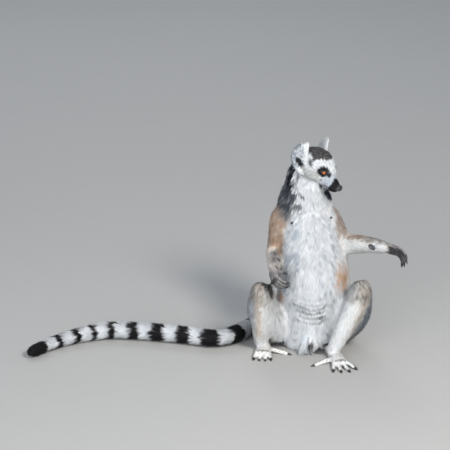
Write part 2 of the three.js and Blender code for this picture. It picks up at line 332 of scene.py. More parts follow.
def tree_of(points):
    tree = KDTree(len(points))
    for index, place in enumerate(points.tolist()):
        tree.insert(place, index)
    tree.balance()
    return tree


def nearest_in(tree, points):
    """The index of the tree's point that lies nearest to each point."""
    find = tree.find
    return np.fromiter((find(p)[1] for p in points.tolist()), int, len(points))


# ---- Materials ----------------------------------------------------------------------------------

LEATHER_RELIEF, HAIR_RELIEF = 0.0003, 0.0001  # how high the bumps of bare skin and of hairs stand


def set_values(node, values):
    """Sets a node's inputs, whose labels are given with _ for each space, or else its settings."""
    for key, value in values.items():
        label = key.replace("_", " ")
        if label in node.inputs:
            node.inputs[label].default_value = value
        else:
            setattr(node, key, value)


class Nodes:
    """Shorthand for building one node tree."""

    def __init__(self, tree):
        self.tree = tree

    def add(self, kind, **values):
        node = self.tree.nodes.new("ShaderNode" + kind)
        set_values(node, values)
        return node

    def link(self, source, target):
        self.tree.links.new(source, target)

    def texture(self, kind, **values):
        """A texture over the piece's own coordinates."""
        texture = self.add("Tex" + kind, **values)
        self.link(self.add("TexCoord").outputs["Object"], texture.inputs["Vector"])
        return texture

    def maths(self, operation, *values):
        """The result of a maths node on sockets and plain numbers."""
        node = self.add("Math", operation=operation)
        for socket, value in zip(node.inputs, values):
            if isinstance(value, bpy.types.NodeSocket):
                self.link(value, socket)
            else:
                socket.default_value = value
        return node.outputs[0]

    def tint(self, inside, outside, grain, middle):
        """Varies a group's colour by its Amount, where the grain leaves its middle value."""
        centred = self.maths("SUBTRACT", grain, middle)
        scaled = self.maths("MULTIPLY_ADD", centred, inside.outputs["Amount"], 1.0)
        tinted = self.add("VectorMath", operation="SCALE")
        self.link(inside.outputs["Colour"], tinted.inputs[0])
        self.link(scaled, tinted.inputs["Scale"])
        self.link(tinted.outputs[0], outside.inputs["Colour"])


def make_group(name, inputs, outputs):
    group = bpy.data.node_groups.new(name, "ShaderNodeTree")
    for label, kind, default in inputs:
        socket = group.interface.new_socket(label, in_out="INPUT", socket_type="NodeSocket" + kind)
        if default is not None:
            socket.default_value = default
    for label, kind in outputs:
        group.interface.new_socket(label, in_out="OUTPUT", socket_type="NodeSocket" + kind)
    nodes = Nodes(group)
    return group, nodes, group.nodes.new("NodeGroupInput"), group.nodes.new("NodeGroupOutput")


def mottle_group():
    """Varies a colour softly over the surface: coarse patches and fine grain."""
    group, nodes, inside, outside = make_group(
        "Mottle",
        [("Colour", "Color", None), ("Coarse", "Float", 60.0), ("Fine", "Float", 700.0),
         ("Amount", "Float", 0.2)],
        [("Colour", "Color"), ("Grain", "Float")],
    )
    grains = []
    for label in ("Coarse", "Fine"):
        noise = nodes.texture("Noise", Detail=3.0, Roughness=0.6)
        nodes.link(inside.outputs[label], noise.inputs["Scale"])
        grains.append(noise.outputs["Fac"])
    total = nodes.maths("ADD", *grains)
    nodes.tint(inside, outside, total, 1.0)
    nodes.link(total, outside.inputs["Grain"])
    return group


def leather_group():
    """Fine pebbles and creases of bare skin, as a height."""
    group, nodes, inside, outside = make_group(
        "Leather", [("Scale", "Float", 900.0), ("Depth", "Float", 1.0)], [("Height", "Float")]
    )
    cells = nodes.texture("Voronoi", feature="DISTANCE_TO_EDGE")
    nodes.link(inside.outputs["Scale"], cells.inputs["Scale"])
    edge = nodes.add("MapRange", From_Max=0.25)
    nodes.link(cells.outputs["Distance"], edge.inputs["Value"])
    deep = nodes.maths("MULTIPLY", edge.outputs["Result"], inside.outputs["Depth"])
    nodes.link(deep, outside.inputs["Height"])
    return group


def strands_group():
    """Fine hairs running along each tuft, as a shade and a height over the tuft's own patch."""
    group, nodes, inside, outside = make_group(
        "Strands", [("Colour", "Color", None), ("Amount", "Float", 0.25)],
        [("Colour", "Color"), ("Height", "Float")],
    )
    place = nodes.add("UVMap", uv_map=UV_NAME)
    spread = nodes.add("Mapping", Scale=(2800.0, 260.0, 1.0))
    nodes.link(place.outputs["UV"], spread.inputs["Vector"])
    noise = nodes.add("TexNoise", Scale=1.0, Detail=2.0, Roughness=0.6)
    nodes.link(spread.outputs["Vector"], noise.inputs["Vector"])
    nodes.tint(inside, outside, noise.outputs["Fac"], 0.5)
    nodes.link(noise.outputs["Fac"], outside.inputs["Height"])
    return group


NODE_GROUPS = {"Mottle": mottle_group, "Leather": leather_group, "Strands": strands_group}


def new_material(name, **values):
    material = bpy.data.materials.new(name)
    material.use_nodes = True
    nodes = Nodes(material.node_tree)
    shader = material.node_tree.nodes["Principled BSDF"]
    set_values(shader, values)
    return material, nodes, shader


def put_group(nodes, name, **values):
    """Places a shared group, which is built when it is first wanted."""
    group = bpy.data.node_groups.get(name) or NODE_GROUPS[name]()
    return nodes.add("Group", node_tree=group, **values)


def colour_through(nodes, shader, name, **values):
    """Colours a shader through a shared group: the tone of skin and coat, unless one is given."""
    group = put_group(nodes, name, **values)
    if "Colour" not in values:
        tone = nodes.add("Attribute", attribute_name=TONE)
        nodes.link(tone.outputs["Color"], group.inputs["Colour"])
    nodes.link(group.outputs["Colour"], shader.inputs["Base Color"])
    return group


def add_bump(nodes, shader, height, distance, strength):
    bump = nodes.add("Bump", Strength=strength, Distance=distance)
    nodes.link(height, bump.inputs["Height"])
    nodes.link(bump.outputs["Normal"], shader.inputs["Normal"])


def skin_material():
    """Short fur and bare leather: the markings, with grain and fine relief."""
    material, nodes, shader = new_material("lemur_skin", Specular_IOR_Level=0.35)
    mottle = colour_through(nodes, shader, "Mottle", Coarse=160.0, Fine=1400.0, Amount=0.5)
    leather = put_group(nodes, "Leather", Scale=900.0, Depth=0.6)
    relief = nodes.maths("ADD", leather.outputs["Height"], mottle.outputs["Grain"])
    add_bump(nodes, shader, relief, LEATHER_RELIEF, 0.7)
    bare = nodes.add("Attribute", attribute_name=BARE)
    rough = nodes.add("MapRange", To_Min=0.8, To_Max=0.46)
    nodes.link(bare.outputs["Fac"], rough.inputs["Value"])
    nodes.link(rough.outputs["Result"], shader.inputs["Roughness"])
    return material


def fur_material(name):
    """Soft hair that takes each tuft's own tone."""
    material, nodes, shader = new_material(
        name, Roughness=0.72, Specular_IOR_Level=0.14, Sheen_Weight=0.04, Sheen_Roughness=0.4
    )
    strands = colour_through(nodes, shader, "Strands", Amount=0.26)
    add_bump(nodes, shader, strands.outputs["Height"], HAIR_RELIEF, 0.5)
    return material


def leather_material(name, colour, scale, depth, **values):
    """Bare dark skin or horn."""
    material, nodes, shader = new_material(name, **values)
    colour_through(
        nodes, shader, "Mottle", Colour=(*colour, 1), Coarse=250.0, Fine=1600.0, Amount=0.6
    )
    leather = put_group(nodes, "Leather", Scale=scale, Depth=depth)
    add_bump(nodes, shader, leather.outputs["Height"], LEATHER_RELIEF, 0.8)
    return material


# ---- Markings and painted shade -----------------------------------------------------------------

WHITE = np.array([0.86, 0.87, 0.875])
CREAM = np.array([0.82, 0.785, 0.72])
SILVER = np.array([0.56, 0.585, 0.61])
BLUE_GREY = np.array([0.27, 0.305, 0.345])
GREY = np.array([0.30, 0.28, 0.265])
BROWN = np.array([0.33, 0.235, 0.175])
RUFOUS = np.array([0.60, 0.34, 0.19])
TAN = np.array([0.58, 0.45, 0.33])
SLATE = np.array([0.060, 0.066, 0.078])
CAP = np.array([0.078, 0.075, 0.080])
BLACK = np.array([0.012, 0.011, 0.012])
PALM = np.array([0.045, 0.043, 0.048])
DUSKY = np.array([0.16, 0.15, 0.15])
LID_BLACK = (0.010, 0.009, 0.010)
HORN = (0.028, 0.024, 0.022)
GLAND_GREY = (0.045, 0.045, 0.052)

# The way the right eye's socket faces, in the head's own frame.
GAZE = unit(np.array([0.42, 0.90, -0.10]))
GAZE_SIDE = unit(np.array([GAZE[1], -GAZE[0], 0.0]))
GAZE_UP = np.cross(GAZE_SIDE, GAZE)

# All in mm in the head's own frame, on its right half. The eye patch's edge is how far it reaches
# from the eye, by the angle around the line of sight. The cap's and the muzzle's edges are heights
# and reaches along the head.
PATCH_ANGLES = [10, 51, 100, 146, 176, 209, 240, 266, 310, 349]
PATCH_REACH = [10.8, 9.8, 9.0, 9.4, 11.6, 9.8, 8.8, 9.2, 9.8, 10.8]
CAP_ALONG = [-34, -26, -14, -7.5, 1, 4, 5.7, 9.6, 13.6, 18.5, 21, 24]
CAP_HEIGHT = [-30, -8, 14, 21, 17, 10.5, 14.5, 17.5, 18.8, 19, 19, 22]
MUZZLE_HEIGHTS = [-30, -26.3, -22, -15.4, -9.8, -5]
MUZZLE_EDGE = [36, 37.6, 39.5, 42.6, 41.4, 41]
MOUTH = [[13.5, 16, -23.5], [11, 22, -26], [9.8, 30, -26.3], [10.5, 38.2, -26], [9.5, 44, -27],
         [7.3, 49.6, -26.4], [0, 53, -27]]
CONCHA = [[37.5, -18.0, 8.0], [35.4, -15.8, 5.1], [31.3, -9.6, -2.2], [31.0, -4.2, -5.1]]
LIP_DOTS = [[16.9, 17.0, -15.9], [13.6, 22.4, -16.4]]


def around_eye(local):
    """Where points lie round their own eye's line of sight: across it, above it and in front."""
    apart = folded_over(local) - EYE_AT
    return apart @ GAZE_SIDE, apart @ GAZE_UP, apart @ GAZE


def head_tone(points):
    local = head_place(points)
    folded = folded_over(local)
    _, forward, height = folded.T
    rough = wobble(points, 2.2, 11) * 0.9
    tone = mixed(WHITE * 0.92, SILVER, 0.45 * step(wobble(points, 3, 12), 0.0, 0.8))
    # The lower cheeks are their own cream, painted paler than the white above as painted light
    # where the jaw faces down.
    cheek = step(height, 4, -10) * step(forward, 26, 12)
    tone = mixed(tone, CREAM * 1.12, 0.6 * cheek)
    flecks = step(wobble(points, 1.5, 15), 0.15, 0.6) * step(forward, 26, 18) * step(height, 12, 4)
    tone = mixed(tone, SILVER * 0.55, 0.55 * flecks)
    # Grey-blue on the snout below the eyes: partly the snout's own grey, partly painted shade.
    snout = step(forward, 21, 30) * step(height, 3, -5)
    tone = mixed(tone, BLUE_GREY * 1.5, 0.75 * snout)
    edge = np.interp(forward, CAP_ALONG, CAP_HEIGHT) - 1.5
    cap = step(height - edge + 1.4 * rough, -1.0, 1.4) * step(forward + rough, 24, 21.5)
    crown = mixed(CAP * 0.6, GREY * 0.9, 0.6 * step(wobble(points, 1.5, 13), -0.1, 0.6))
    tone = mixed(tone, crown, cap)
    spot = near_line(folded, [[27, -1, 14], [28, 3, 7]])
    tone = mixed(tone, CAP, 0.9 * step(spot + rough, 5.0, 3.0))
    across, above, before = around_eye(local)
    turn = np.degrees(np.arctan2(above, across)) % 360
    reach = np.interp(turn, PATCH_ANGLES, PATCH_REACH, period=360)
    patch = step(np.hypot(across, above) - reach + 1.1 * rough, 1.6, -1.4) * (before > -4)
    tone = mixed(tone, BLACK, patch)
    muzzle = step(forward - np.interp(height, MUZZLE_HEIGHTS, MUZZLE_EDGE) + 0.8 * rough, -1.8, 0.9)
    tone = mixed(tone, BLACK, muzzle)
    mouth = near_line(folded, MOUTH)
    tone = mixed(tone, DUSKY, 0.8 * step(mouth + rough, 4.5, 2.2) * (1 - muzzle))
    tone = mixed(tone, BLACK * 1.5, step(mouth, 1.5, 0.7))
    for dot in LIP_DOTS:
        near = np.linalg.norm(folded - dot, axis=1)
        tone = mixed(tone, DUSKY, 0.85 * step(near + rough, 3.0, 1.4))
    return tone


def ear_tone(points):
    local = head_place(points)
    folded = folded_over(local)
    rough = wobble(points, 2.5, 21)
    # Painted shade in each ear's hollow, nearly all of it in the right ear, with darker painted
    # shade in the gaps between its hairs.
    hollow = step(near_line(folded, [[40, -22, 24], [38, -19, 6]]), 15, 8)
    hollow = hollow * (0.1 + 0.9 * step(local[:, 0], -1, 1))
    tone = mixed(WHITE * 0.76, BLUE_GREY, 0.85 * hollow * step(rough, -1.1, 0.2))
    gaps = step(wobble(points * [1, 1, 0.5], 1.5, 22), 0.2, 0.6)
    tone = mixed(tone, SLATE * 2.0, 0.6 * hollow * gaps)
    return mixed(tone, BLACK * 1.6, step(near_line(folded, CONCHA) + 1.2 * rough, 5.4, 3.4))


NECK_HEIGHTS = [230, 262, 270, 280, 290, 298, 306, 314, 324, 340]
NECK_WHITE_FROM = [-29, -28, -27, -25.5, -24.5, -27, -29, -30, -31, -31]
NECK_WHITE_TO = [46, 46, 36, 30, 26, 26, 27, 29, 32, 32]


def neck_tone(points):
    x, y, z = points.T
    rough = 3.2 * wobble(points * [1, 1, 0.35], 2.6, 31) + 2.0 * wobble(points, 9, 32)
    back = step(y, 8, 16)
    white = (
        step(x - np.interp(z, NECK_HEIGHTS, NECK_WHITE_FROM) + rough, -1.5, 1.5)
        * step(np.interp(z, NECK_HEIGHTS, NECK_WHITE_TO) - x + rough, -1.5, 1.5)
        * (1 - back)
    )
    dark = mixed(SLATE, GREY * 0.8, 0.55 * step(wobble(points, 4, 33), -0.2, 0.9))
    dark = mixed(dark, GREY, 0.5 * step(y, 12, 40) * step(z, 300, 250))
    grizzle = streaks(points, (-0.3, 0, -1), 1.8, 35, 5)
    dark = mixed(dark, SILVER * 0.8, 0.5 * step(grizzle, 0.3, 0.7) * step(x, -20, -30))
    dark = mixed(dark, BLUE_GREY * 1.1, 0.6 * step(x, 14, 34) * step(z + 2 * rough, 300, 272))
    bib = mixed(WHITE, SILVER, 0.3 * step(wobble(points * [1, 1, 0.4], 3, 34), 0.0, 0.8))
    return mixed(dark, bib, white)


# The belly's folds, from the top: the height of each and its share of the full depth, then how wide
# across its crease a fold is and how deep the deepest is, in mm.
FOLD_HEIGHTS = [104, 94, 84.5, 75.5, 66.5, 57]
FOLD_SHARES = [0.3, 0.55, 0.85, 1.0, 1.0, 0.75]
FOLD_WIDTH, FOLD_DEPTH = 1.8, 4.2
BELLY_MIDDLE = 4.5


def belly_fold(points):
    """How deep each point lies in the creases across the lower belly, from 0 to 1."""
    x, y, z = points.T
    off = x - BELLY_MIDDLE
    found = np.zeros(len(points))
    for k, (height, deep) in enumerate(zip(FOLD_HEIGHTS, FOLD_SHARES)):
        line = height + 0.010 * off**2 + 0.8 * np.sin(x / 9.0 + 1.9 * k)
        wide = step(np.abs(off) + 5 * np.sin(2.3 * k), 39 - 2 * k, 17)
        found = np.maximum(found, deep * wide * np.exp(-(((z - line) / FOLD_WIDTH) ** 2)))
    return found * step(y, -20, -34)


def trunk_tone(points):
    x, y, z = points.T
    rough = 4 * wobble(points, 8, 41) + 2 * wobble(points, 2.5, 42)
    tone = mixed(WHITE * 1.04, WHITE * 0.93, step(z, 110, 190))
    tone = mixed(tone, SILVER, 0.35 * step(wobble(points * [1, 1, 0.3], 4, 43), 0.15, 0.9))
    # Painted shade in the belly's creases.
    tone = mixed(tone, GREY * 0.5, 0.8 * belly_fold(points))
    # Painted shade: grey-blue streaks in the gaps between locks, down the sides of the chest and
    # belly.
    side = np.where(x > 5, 1.0, -1.0)
    out = streaks(np.column_stack([(x - 5) * side, y, z]), (0.35, 0, -1), 2.6, 45, 7)
    tone = mixed(tone, BLUE_GREY * 1.4, 0.7 * step(out, 0.3, 0.75) * step(np.abs(x - 5), 4, 22))
    for centre, size in (([54, -26, 137], [16, 20, 27]), ([-45, -16, 92], [9, 13, 13])):
        near = np.linalg.norm((points - centre) / size, axis=1)
        tone = mixed(tone, RUFOUS * [1.25, 1.2, 1.15], 0.8 * step(near + 0.06 * rough, 1.35, 0.3))
    flank = step(y + rough, -12, 4)
    tone = mixed(tone, TAN, 0.75 * flank)
    back = mixed(GREY, BROWN * 1.35, 0.45 + 0.35 * wobble(points, 14, 44))
    tone = mixed(tone, back, step(y + rough, 0, 14))
    # Painted shade: a brown line in the left armpit.
    armpit_shade = near_line(points, [[44, -30, 178], [48, -22, 184], [50, -12, 186]])
    tone = mixed(tone, BROWN, 0.7 * step(armpit_shade, 5, 2))
    shoulder = step(z, 222, 238) * step(y, 4, 16)
    tone = mixed(tone, SLATE * 2.2, 0.6 * shoulder)
    vent = np.linalg.norm((points - [1.5, -50, 20]) / [5.0, 12, 6.0], axis=1)
    return mixed(tone, BLACK * 2.5, 0.95 * step(vent + 0.05 * rough, 1.25, 0.6))


def ticked(points, tone, seed, share=0.5):
    """Grey fur is ticked with darker and paler hairs."""
    fleck = wobble(points, 2.4, seed)
    tone = mixed(tone, tone * 0.3, share * step(fleck, 0.25, 0.7))
    return mixed(tone, WHITE * 0.8, 0.6 * share * step(fleck, -0.3, -0.7))


def upper_arm_tone(points):
    x, y, z = points.T
    rough = 3 * wobble(points, 6, 51)
    right = ticked(points, mixed(BROWN * 1.6, RUFOUS * 1.1, 0.4 * step(z, 215, 180)), 52, 0.3)
    right = mixed(right, SLATE * 1.3, step(z + rough, 222, 240) * step(x + rough, -56, -40))
    right = mixed(right, GREY * 0.9, 0.6 * step(y + rough, 12, 28))
    right = mixed(right, GREY * 0.9, 0.7 * step(x + rough, -64, -72))
    right = mixed(right, WHITE, step(x + rough, -44, -38) * step(y, 16, 4) * step(z, 236, 214))
    left = ticked(points, mixed(BROWN * 1.4, GREY * 1.35, 0.5), 53, 0.3)
    left = mixed(left, WHITE, step(x + rough, 44, 38) * step(y, 12, -2))
    left = mixed(left, WHITE, step(z + rough, 206, 198) * step(y, 22, 8))
    left = mixed(left, SLATE * 2, 0.6 * step(y + rough, 8, 24) * step(z, 210, 240))
    return mixed(right, left, step(x, -10, 10))


def forearm_tone(points):
    x, y, z = points.T
    rough = 2.5 * wobble(points, 5, 61)
    # The right forearm is painted far paler than the grey of its fur, as painted light on a forearm
    # that lies in shade.
    right = ticked(points, mixed(GREY * 2.5, BROWN * 2.1, 0.3), 62, 0.25)
    elbow = np.linalg.norm((points - [-50, 0, 176]) / [10, 16, 12], axis=1)
    right = mixed(right, RUFOUS * 1.1, 0.8 * step(elbow + 0.05 * rough, 1.2, 0.4))
    right = mixed(right, CREAM, step(x + rough, -52, -46) * step(z, 170, 162))
    line = np.interp(x, [45, 70, 95, 128], [199, 198, 199, 198])
    top = mixed(BROWN * 1.5, GREY * 1.4, step(x, 70, 118))
    left = mixed(CREAM * 1.18, ticked(points, top, 63, 0.35), step(z + rough - line, -2, 4))
    left = mixed(left, GREY, 0.7 * step(y + rough, 0, 14))
    return mixed(right, left, step(x, -10, 10))


def hand_tone(points):
    along = np.full(len(points), 99.0)
    for node in ("right_hand", "left_hand"):
        from_wrist = points - PAWS[node][0]
        near = np.linalg.norm(from_wrist, axis=1) < 40
        along = np.where(near, from_wrist @ paw_axes(node)[:, 0], along)
    fur = mixed(GREY * 0.7, GREY * 0.95, step(wobble(points, 3, 71), -0.6, 0.6))
    fur = mixed(mixed(GREY * 1.9, BROWN * 1.6, 0.25), fur, step(along, 2, 16))
    return mixed(fur, SLATE * 1.4, 0.5 * step(wobble(points, 1.6, 72), 0.3, 0.8))


# Where the tan strip down each shin lies, by height.
STRIP_HEIGHTS = [0, 56, 111, 130]
LEFT_STRIP, RIGHT_STRIP = [52, 77, 94, 97], [-84, -86, -89, -90]


def leg_tone(points):
    """From the inner side outwards: cream, a tan strip, then grey flecked with dark."""
    x, y, z = points.T
    rough = 3 * wobble(points, 6, 81) + 1.5 * wobble(points, 2, 82)
    left = x > 0
    left_strip, right_strip = (np.interp(z, STRIP_HEIGHTS, at) for at in (LEFT_STRIP, RIGHT_STRIP))
    out = np.where(left, x - left_strip, right_strip - x) + rough
    tone = mixed(WHITE * 1.12, CREAM * 1.18, 0.4 + 0.35 * step(out, -34, -14))
    tan = np.exp(-((out / 5.5) ** 2)) * step(z, 20, 40)
    tone = mixed(tone, TAN, 0.75 * tan)
    outer = np.where(left[:, None], BLUE_GREY * 0.95, SILVER * 0.95)
    outer = ticked(points, outer, 83, 0.6)
    tone = mixed(tone, outer, step(out, 3, 10))
    behind = ticked(points, np.broadcast_to(GREY * 1.1, outer.shape), 84, 0.6)
    tone = mixed(tone, behind, step(y + rough, -34, -8) * step(out, -40, -10))
    knee = ticked(points, mixed(GREY * 1.25, TAN, 0.35), 85, 0.9)
    return mixed(tone, knee, 0.85 * step(z + rough, 96, 116) * step(out, -34, -14))


def thigh_tone(points):
    tone = leg_tone(points)
    x, y, z = points.T
    # Painted shade: grey-blue in the crease at the inner side of the right thigh.
    crease_shade = step(np.abs(x + 50), 9, 3) * step(y, -20, -40) * step(z, 80, 100)
    tone = mixed(tone, BLUE_GREY, 0.7 * crease_shade)
    # Painted shade: a dark patch on the right knee, under the hand, for the shade between hand and
    # knee.
    gap = near_line(points, [[-77, -60, 135], [-72, -62, 127], [-67, -58, 119]])
    return mixed(tone, SLATE * 0.5, 0.9 * step(gap + 2.5 * wobble(points, 3, 86), 10, 5))


def foot_tone(points):
    tone = mixed(CREAM * 1.18, WHITE * 1.1, 0.4 + 0.3 * wobble(points, 6, 91))
    return mixed(tone, DUSKY * 1.8, 0.42 * step(wobble(points, 2.2, 92), 0.15, 0.7))


# The tail's pale rings: the middle and half the width of each, in mm along the tail.
RINGS = [(32, 9), (80, 11.5), (129, 13), (179, 10.8), (229, 11), (276.4, 11), (322, 10.6),
         (363.5, 11.2), (402, 11.4), (434, 10.6), (469, 11.2), (507, 10.8)]


def tail_tone(points):
    run, _ = along_tail(points)
    rough = 2.4 * wobble(points, 3.5, 93) + 1.2 * wobble(points, 1.6, 94)
    pale = np.zeros(len(points))
    for middle, half in RINGS:
        pale = np.maximum(pale, step(np.abs(run + rough - middle) - half, 1.3, -1.3))
    white = mixed(WHITE * 0.97, SILVER, 0.25 * step(wobble(points, 6, 95), 0, 0.8))
    root = ticked(points, np.broadcast_to(GREY, white.shape), 96, 0.5)
    tone = mixed(BLACK * 1.1, white, pale)
    return mixed(root, tone, step(run, 12, 24))


# Lines down the middle of the dark nape and of the dark patch on the throat's far side.
NAPE = [[-22, 8, 342], [-25, 4, 328], [-27, 1, 315], [-28, -1, 304], [-28, -3, 294], [-31, -2, 284],
        [-35, 0, 275]]
FAR_THROAT = [[24, -3, 289], [26, 0, 280], [30, 6, 271]]


def cross_marks(points, tone, on_ear):
    """Markings that run over several parts: the nape and the throat's side, and the painted shade
    in the ruff's dark gaps.
    """
    x, y, z = points.T
    gaps = streaks(points, (0.6, -0.2, -0.77), 1.5, 111, 9)
    nape = near_line(points, NAPE) - 3.0 * gaps - 1.0 * wobble(points, 5, 112)
    nape = step(nape, 8.5, 6.0) * step(z, 268, 280) * (1 - on_ear)
    dark = mixed(SLATE * 0.3, SLATE * 1.2, step(x, -33, -39))
    tone = mixed(tone, dark, nape)
    # Painted shade: the gaps between the ruff's locks are painted dark.
    ruff = step(x, 2, -14) * step(z, 246, 258) * step(z, 338, 326) * step(y, 20, 8) * (1 - on_ear)
    tone = mixed(tone, SLATE * 1.2, 0.85 * ruff * step(gaps, 0.28, 0.75))
    throat = near_line(points, FAR_THROAT) - 1.6 * wobble(points, 3, 113)
    return mixed(tone, SLATE * 0.7, step(throat, 7.6, 4.6) * step(z + x * 0.1, 297, 291))


TONES = {
    "head": head_tone, "ear": ear_tone, "neck": neck_tone, "trunk": trunk_tone,
    "upper_arm": upper_arm_tone, "forearm": forearm_tone, "hand": hand_tone, "thigh": thigh_tone,
    "shank": leg_tone, "foot": foot_tone, "tail": tail_tone,
}


# ---- The way the coat lies ----------------------------------------------------------------------


def head_lie(points):
    local = head_place(points)
    away = unit(local - MUZZLE_FROM)
    away[:, 1] -= 0.4
    away[:, 2] -= 0.5 * step(local[:, 2], 6, -14)
    away[:, 0] += 0.15 * np.sign(local[:, 0])
    from_eye = local - on_own_side(local, EYE_AT)
    near = np.exp(-((np.linalg.norm(from_eye, axis=1) / 11) ** 2))
    return mixed(away, unit(from_eye), near) @ HEAD_AXES.T


def ear_lie(points):
    local = head_place(points)
    away = unit(local - on_own_side(local, EAR_ROOT))
    return (away * [1.25, 1.25, 1] + [0, 0, 0.2]) @ HEAD_AXES.T


def neck_lie(points):
    x, y, _ = points.T
    return np.column_stack([0.018 * (x + 4), 0.010 * (y - 10), np.full(len(x), -1.0)])


def trunk_lie(points):
    x, y, z = points.T
    part = step(z, 150, 200) * step(y, 10, -20)
    out = 0.022 * (x - 5) * part - 0.006 * (x - 5) * (1 - part) * step(y, 0, -20)
    return np.column_stack([out, np.zeros(len(x)), np.full(len(x), -1.0)])


def limb_lie(node, down, points):
    start, end = (np.array(p, float) for p in JOINTS[node])
    way = unit(end - start) * (1 - down) + np.array([0, 0, -1.0]) * down
    return np.broadcast_to(way, points.shape)


def paw_axes(node):
    """The paw's own frame: columns ahead, towards the thumb, and out of its back."""
    start, to, back, mirrored, *_ = PAWS[node]
    ahead = unit(np.array(to, float) - start)
    across = unit(np.cross(back, ahead))
    over = np.cross(ahead, across)
    return np.column_stack([ahead, -across if mirrored else across, over])


def lie_of(node, points):
    group = group_of(node)
    if group == "tail":
        return along_tail(points)[1]
    if group in ("hand", "foot"):
        return np.broadcast_to(paw_axes(node)[:, 0], points.shape)
    if node in JOINTS:
        down = 0.72 if node == "right_forearm" else {"thigh": 0.62, "shank": 0.2}.get(group, 0.15)
        return limb_lie(node, down, points)
    return {"head": head_lie, "ear": ear_lie, "neck": neck_lie, "trunk": trunk_lie}[group](points)


# ---- Coat measures over the body ----------------------------------------------------------------


def head_coat(points):
    """The head's coat, in the same five measures: shortest on the muzzle and lids."""
    local = head_place(points)
    _, forward, height = local.T
    cheek = step(height, 2, -16) * step(forward, 28, 8)
    crown = step(forward, 26, 2)
    snout = step(forward, 28, 40)
    across, above, before = around_eye(local)
    eye = np.exp(-((np.hypot(across, above) / 9.5) ** 2)) * step(before, -6, 0)
    found = np.column_stack([
        1.6 + 1.9 * crown + 2.4 * cheek,
        4.2 + 3.6 * crown + 6.0 * cheek,
        0.48 + 0.22 * crown + 0.22 * cheek,
        600 - 200 * crown - 90 * cheek,
        0.12 + 0.12 * cheek,
    ])
    found = mixed(found, [0.8, 2.2, 0.35, 560, 0.12], snout)
    return mixed(found, [0.55, 2.0, 0.32, 620, 0.12], eye)


def coat_measures(group, points):
    if group == "head":
        return head_coat(points)
    found = np.tile(np.array(COAT[group], float), (len(points), 1))
    x, y, _ = points.T
    if group == "tail":
        thin = step(along_tail(points)[0] / TAIL_LENGTH, 0.66, 1)
        found[:, 0] *= 1 - 0.4 * thin
        found[:, 1] *= 1 - 0.15 * thin
    if group == "ear":
        local = head_place(points)
        tip = step(local[:, 2], 16, 32)
        found[:, 1] *= 0.9 + np.where(local[:, 0] > 0, 0.6, -0.2) * tip
    if group == "thigh":
        fringe = step(x, -64, -78) * step(y, -46, -30)
        found[:, 4] += 0.3 * fringe
    if group in ("thigh", "shank", "trunk"):
        groin = groin_area(points)
        found[:, 1] *= 1 + 0.7 * groin
        found[:, 4] += 0.7 * groin
    if group == "trunk":
        belly = belly_area(points)
        found *= 1 + belly[:, None] * np.array([-0.6, -0.7, -0.38, 1.0, 0])
    return found


def groin_area(points):
    """Where long silky hair hangs between the legs."""
    x, y, z = points.T
    inner = step(x, -66, -54) * step(x, 12, -2) * step(z, 84, 62) * step(y, 24, 4)
    return inner * step(y, -64, -52)


def belly_area(points):
    """Where the belly's coat is thin enough for its folds to show."""
    x, y, z = points.T
    return step(np.abs(x - 4), 42, 26) * step(z, 120, 96) * step(z, 38, 50) * step(y, -18, -32)


# ---- The skin -----------------------------------------------------------------------------------

JOIN_OVERLAP = 0.0004  # how far each part swells, to bridge the gaps between parts
SKIN_VOXEL = 0.0011
SKIN_TRIANGLES = 128_000  # before the face is refined
LID_OVER = 0.55  # mm of lid over the eyeball
LID_HALF_WIDTH, LID_ABOVE, LID_BELOW = 0.80, 0.34, 0.46  # as shares of the eyeball's radius
SINK_STEPS = 5
CRUSHED = 0.35  # a place is smoothed where the cosine of its normal's turn falls below this
SKIN_FLOOR = 0.15  # mm above the floor, below which no skin lies
LEAST_SHARE = 0.004  # a part with less than this share of a place is left out there
skin = {}  # what the skin's operator finds and the coat's operators read


def joined_flesh():
    """All flesh nodes as one mesh, each grown a little to overlap the next, with filled sockets."""
    bm = bmesh.new()
    for name in FLESH:
        part = bmesh.new()
        part.from_mesh(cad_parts[name].data)
        bmesh.ops.remove_doubles(part, verts=part.verts, dist=1e-5)
        part.normal_update()
        for vert in part.verts:
            vert.co += vert.normal * JOIN_OVERLAP
        mesh = bpy.data.meshes.new("part")
        part.to_mesh(mesh)
        part.free()
        bm.from_mesh(mesh)
        bpy.data.meshes.remove(mesh)
    for name in ("right_eye", "left_eye"):
        low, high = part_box(name)
        bmesh.ops.create_icosphere(
            bm, subdivisions=4, radius=(EYE_RADIUS + 0.9) * MM,
            matrix=Matrix.Translation((low + high) / 2),
        )
    mesh = bpy.data.meshes.new("flesh")
    bm.to_mesh(mesh)
    bm.free()
    return mesh


def evaluated(mesh, name, **settings):
    """The mesh after one modifier."""
    holder = bpy.data.objects.new("holder", mesh)
    bpy.context.scene.collection.objects.link(holder)
    modifier = holder.modifiers.new("modifier", name)
    groups = settings.pop("group", None)
    if groups is not None:
        group = holder.vertex_groups.new(name="group")
        group.add(groups.tolist(), 1.0, "REPLACE")
        modifier.vertex_group = "group"
    for key, value in settings.items():
        setattr(modifier, key, value)
    graph = bpy.context.evaluated_depsgraph_get()
    made = bpy.data.meshes.new_from_object(holder.evaluated_get(graph), depsgraph=graph)
    bpy.data.objects.remove(holder)
    bpy.data.meshes.remove(mesh)
    return made


def in_box(points, node, grown):
    low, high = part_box(node)
    return np.all((points > np.array(low) - grown) & (points < np.array(high) + grown), axis=1)


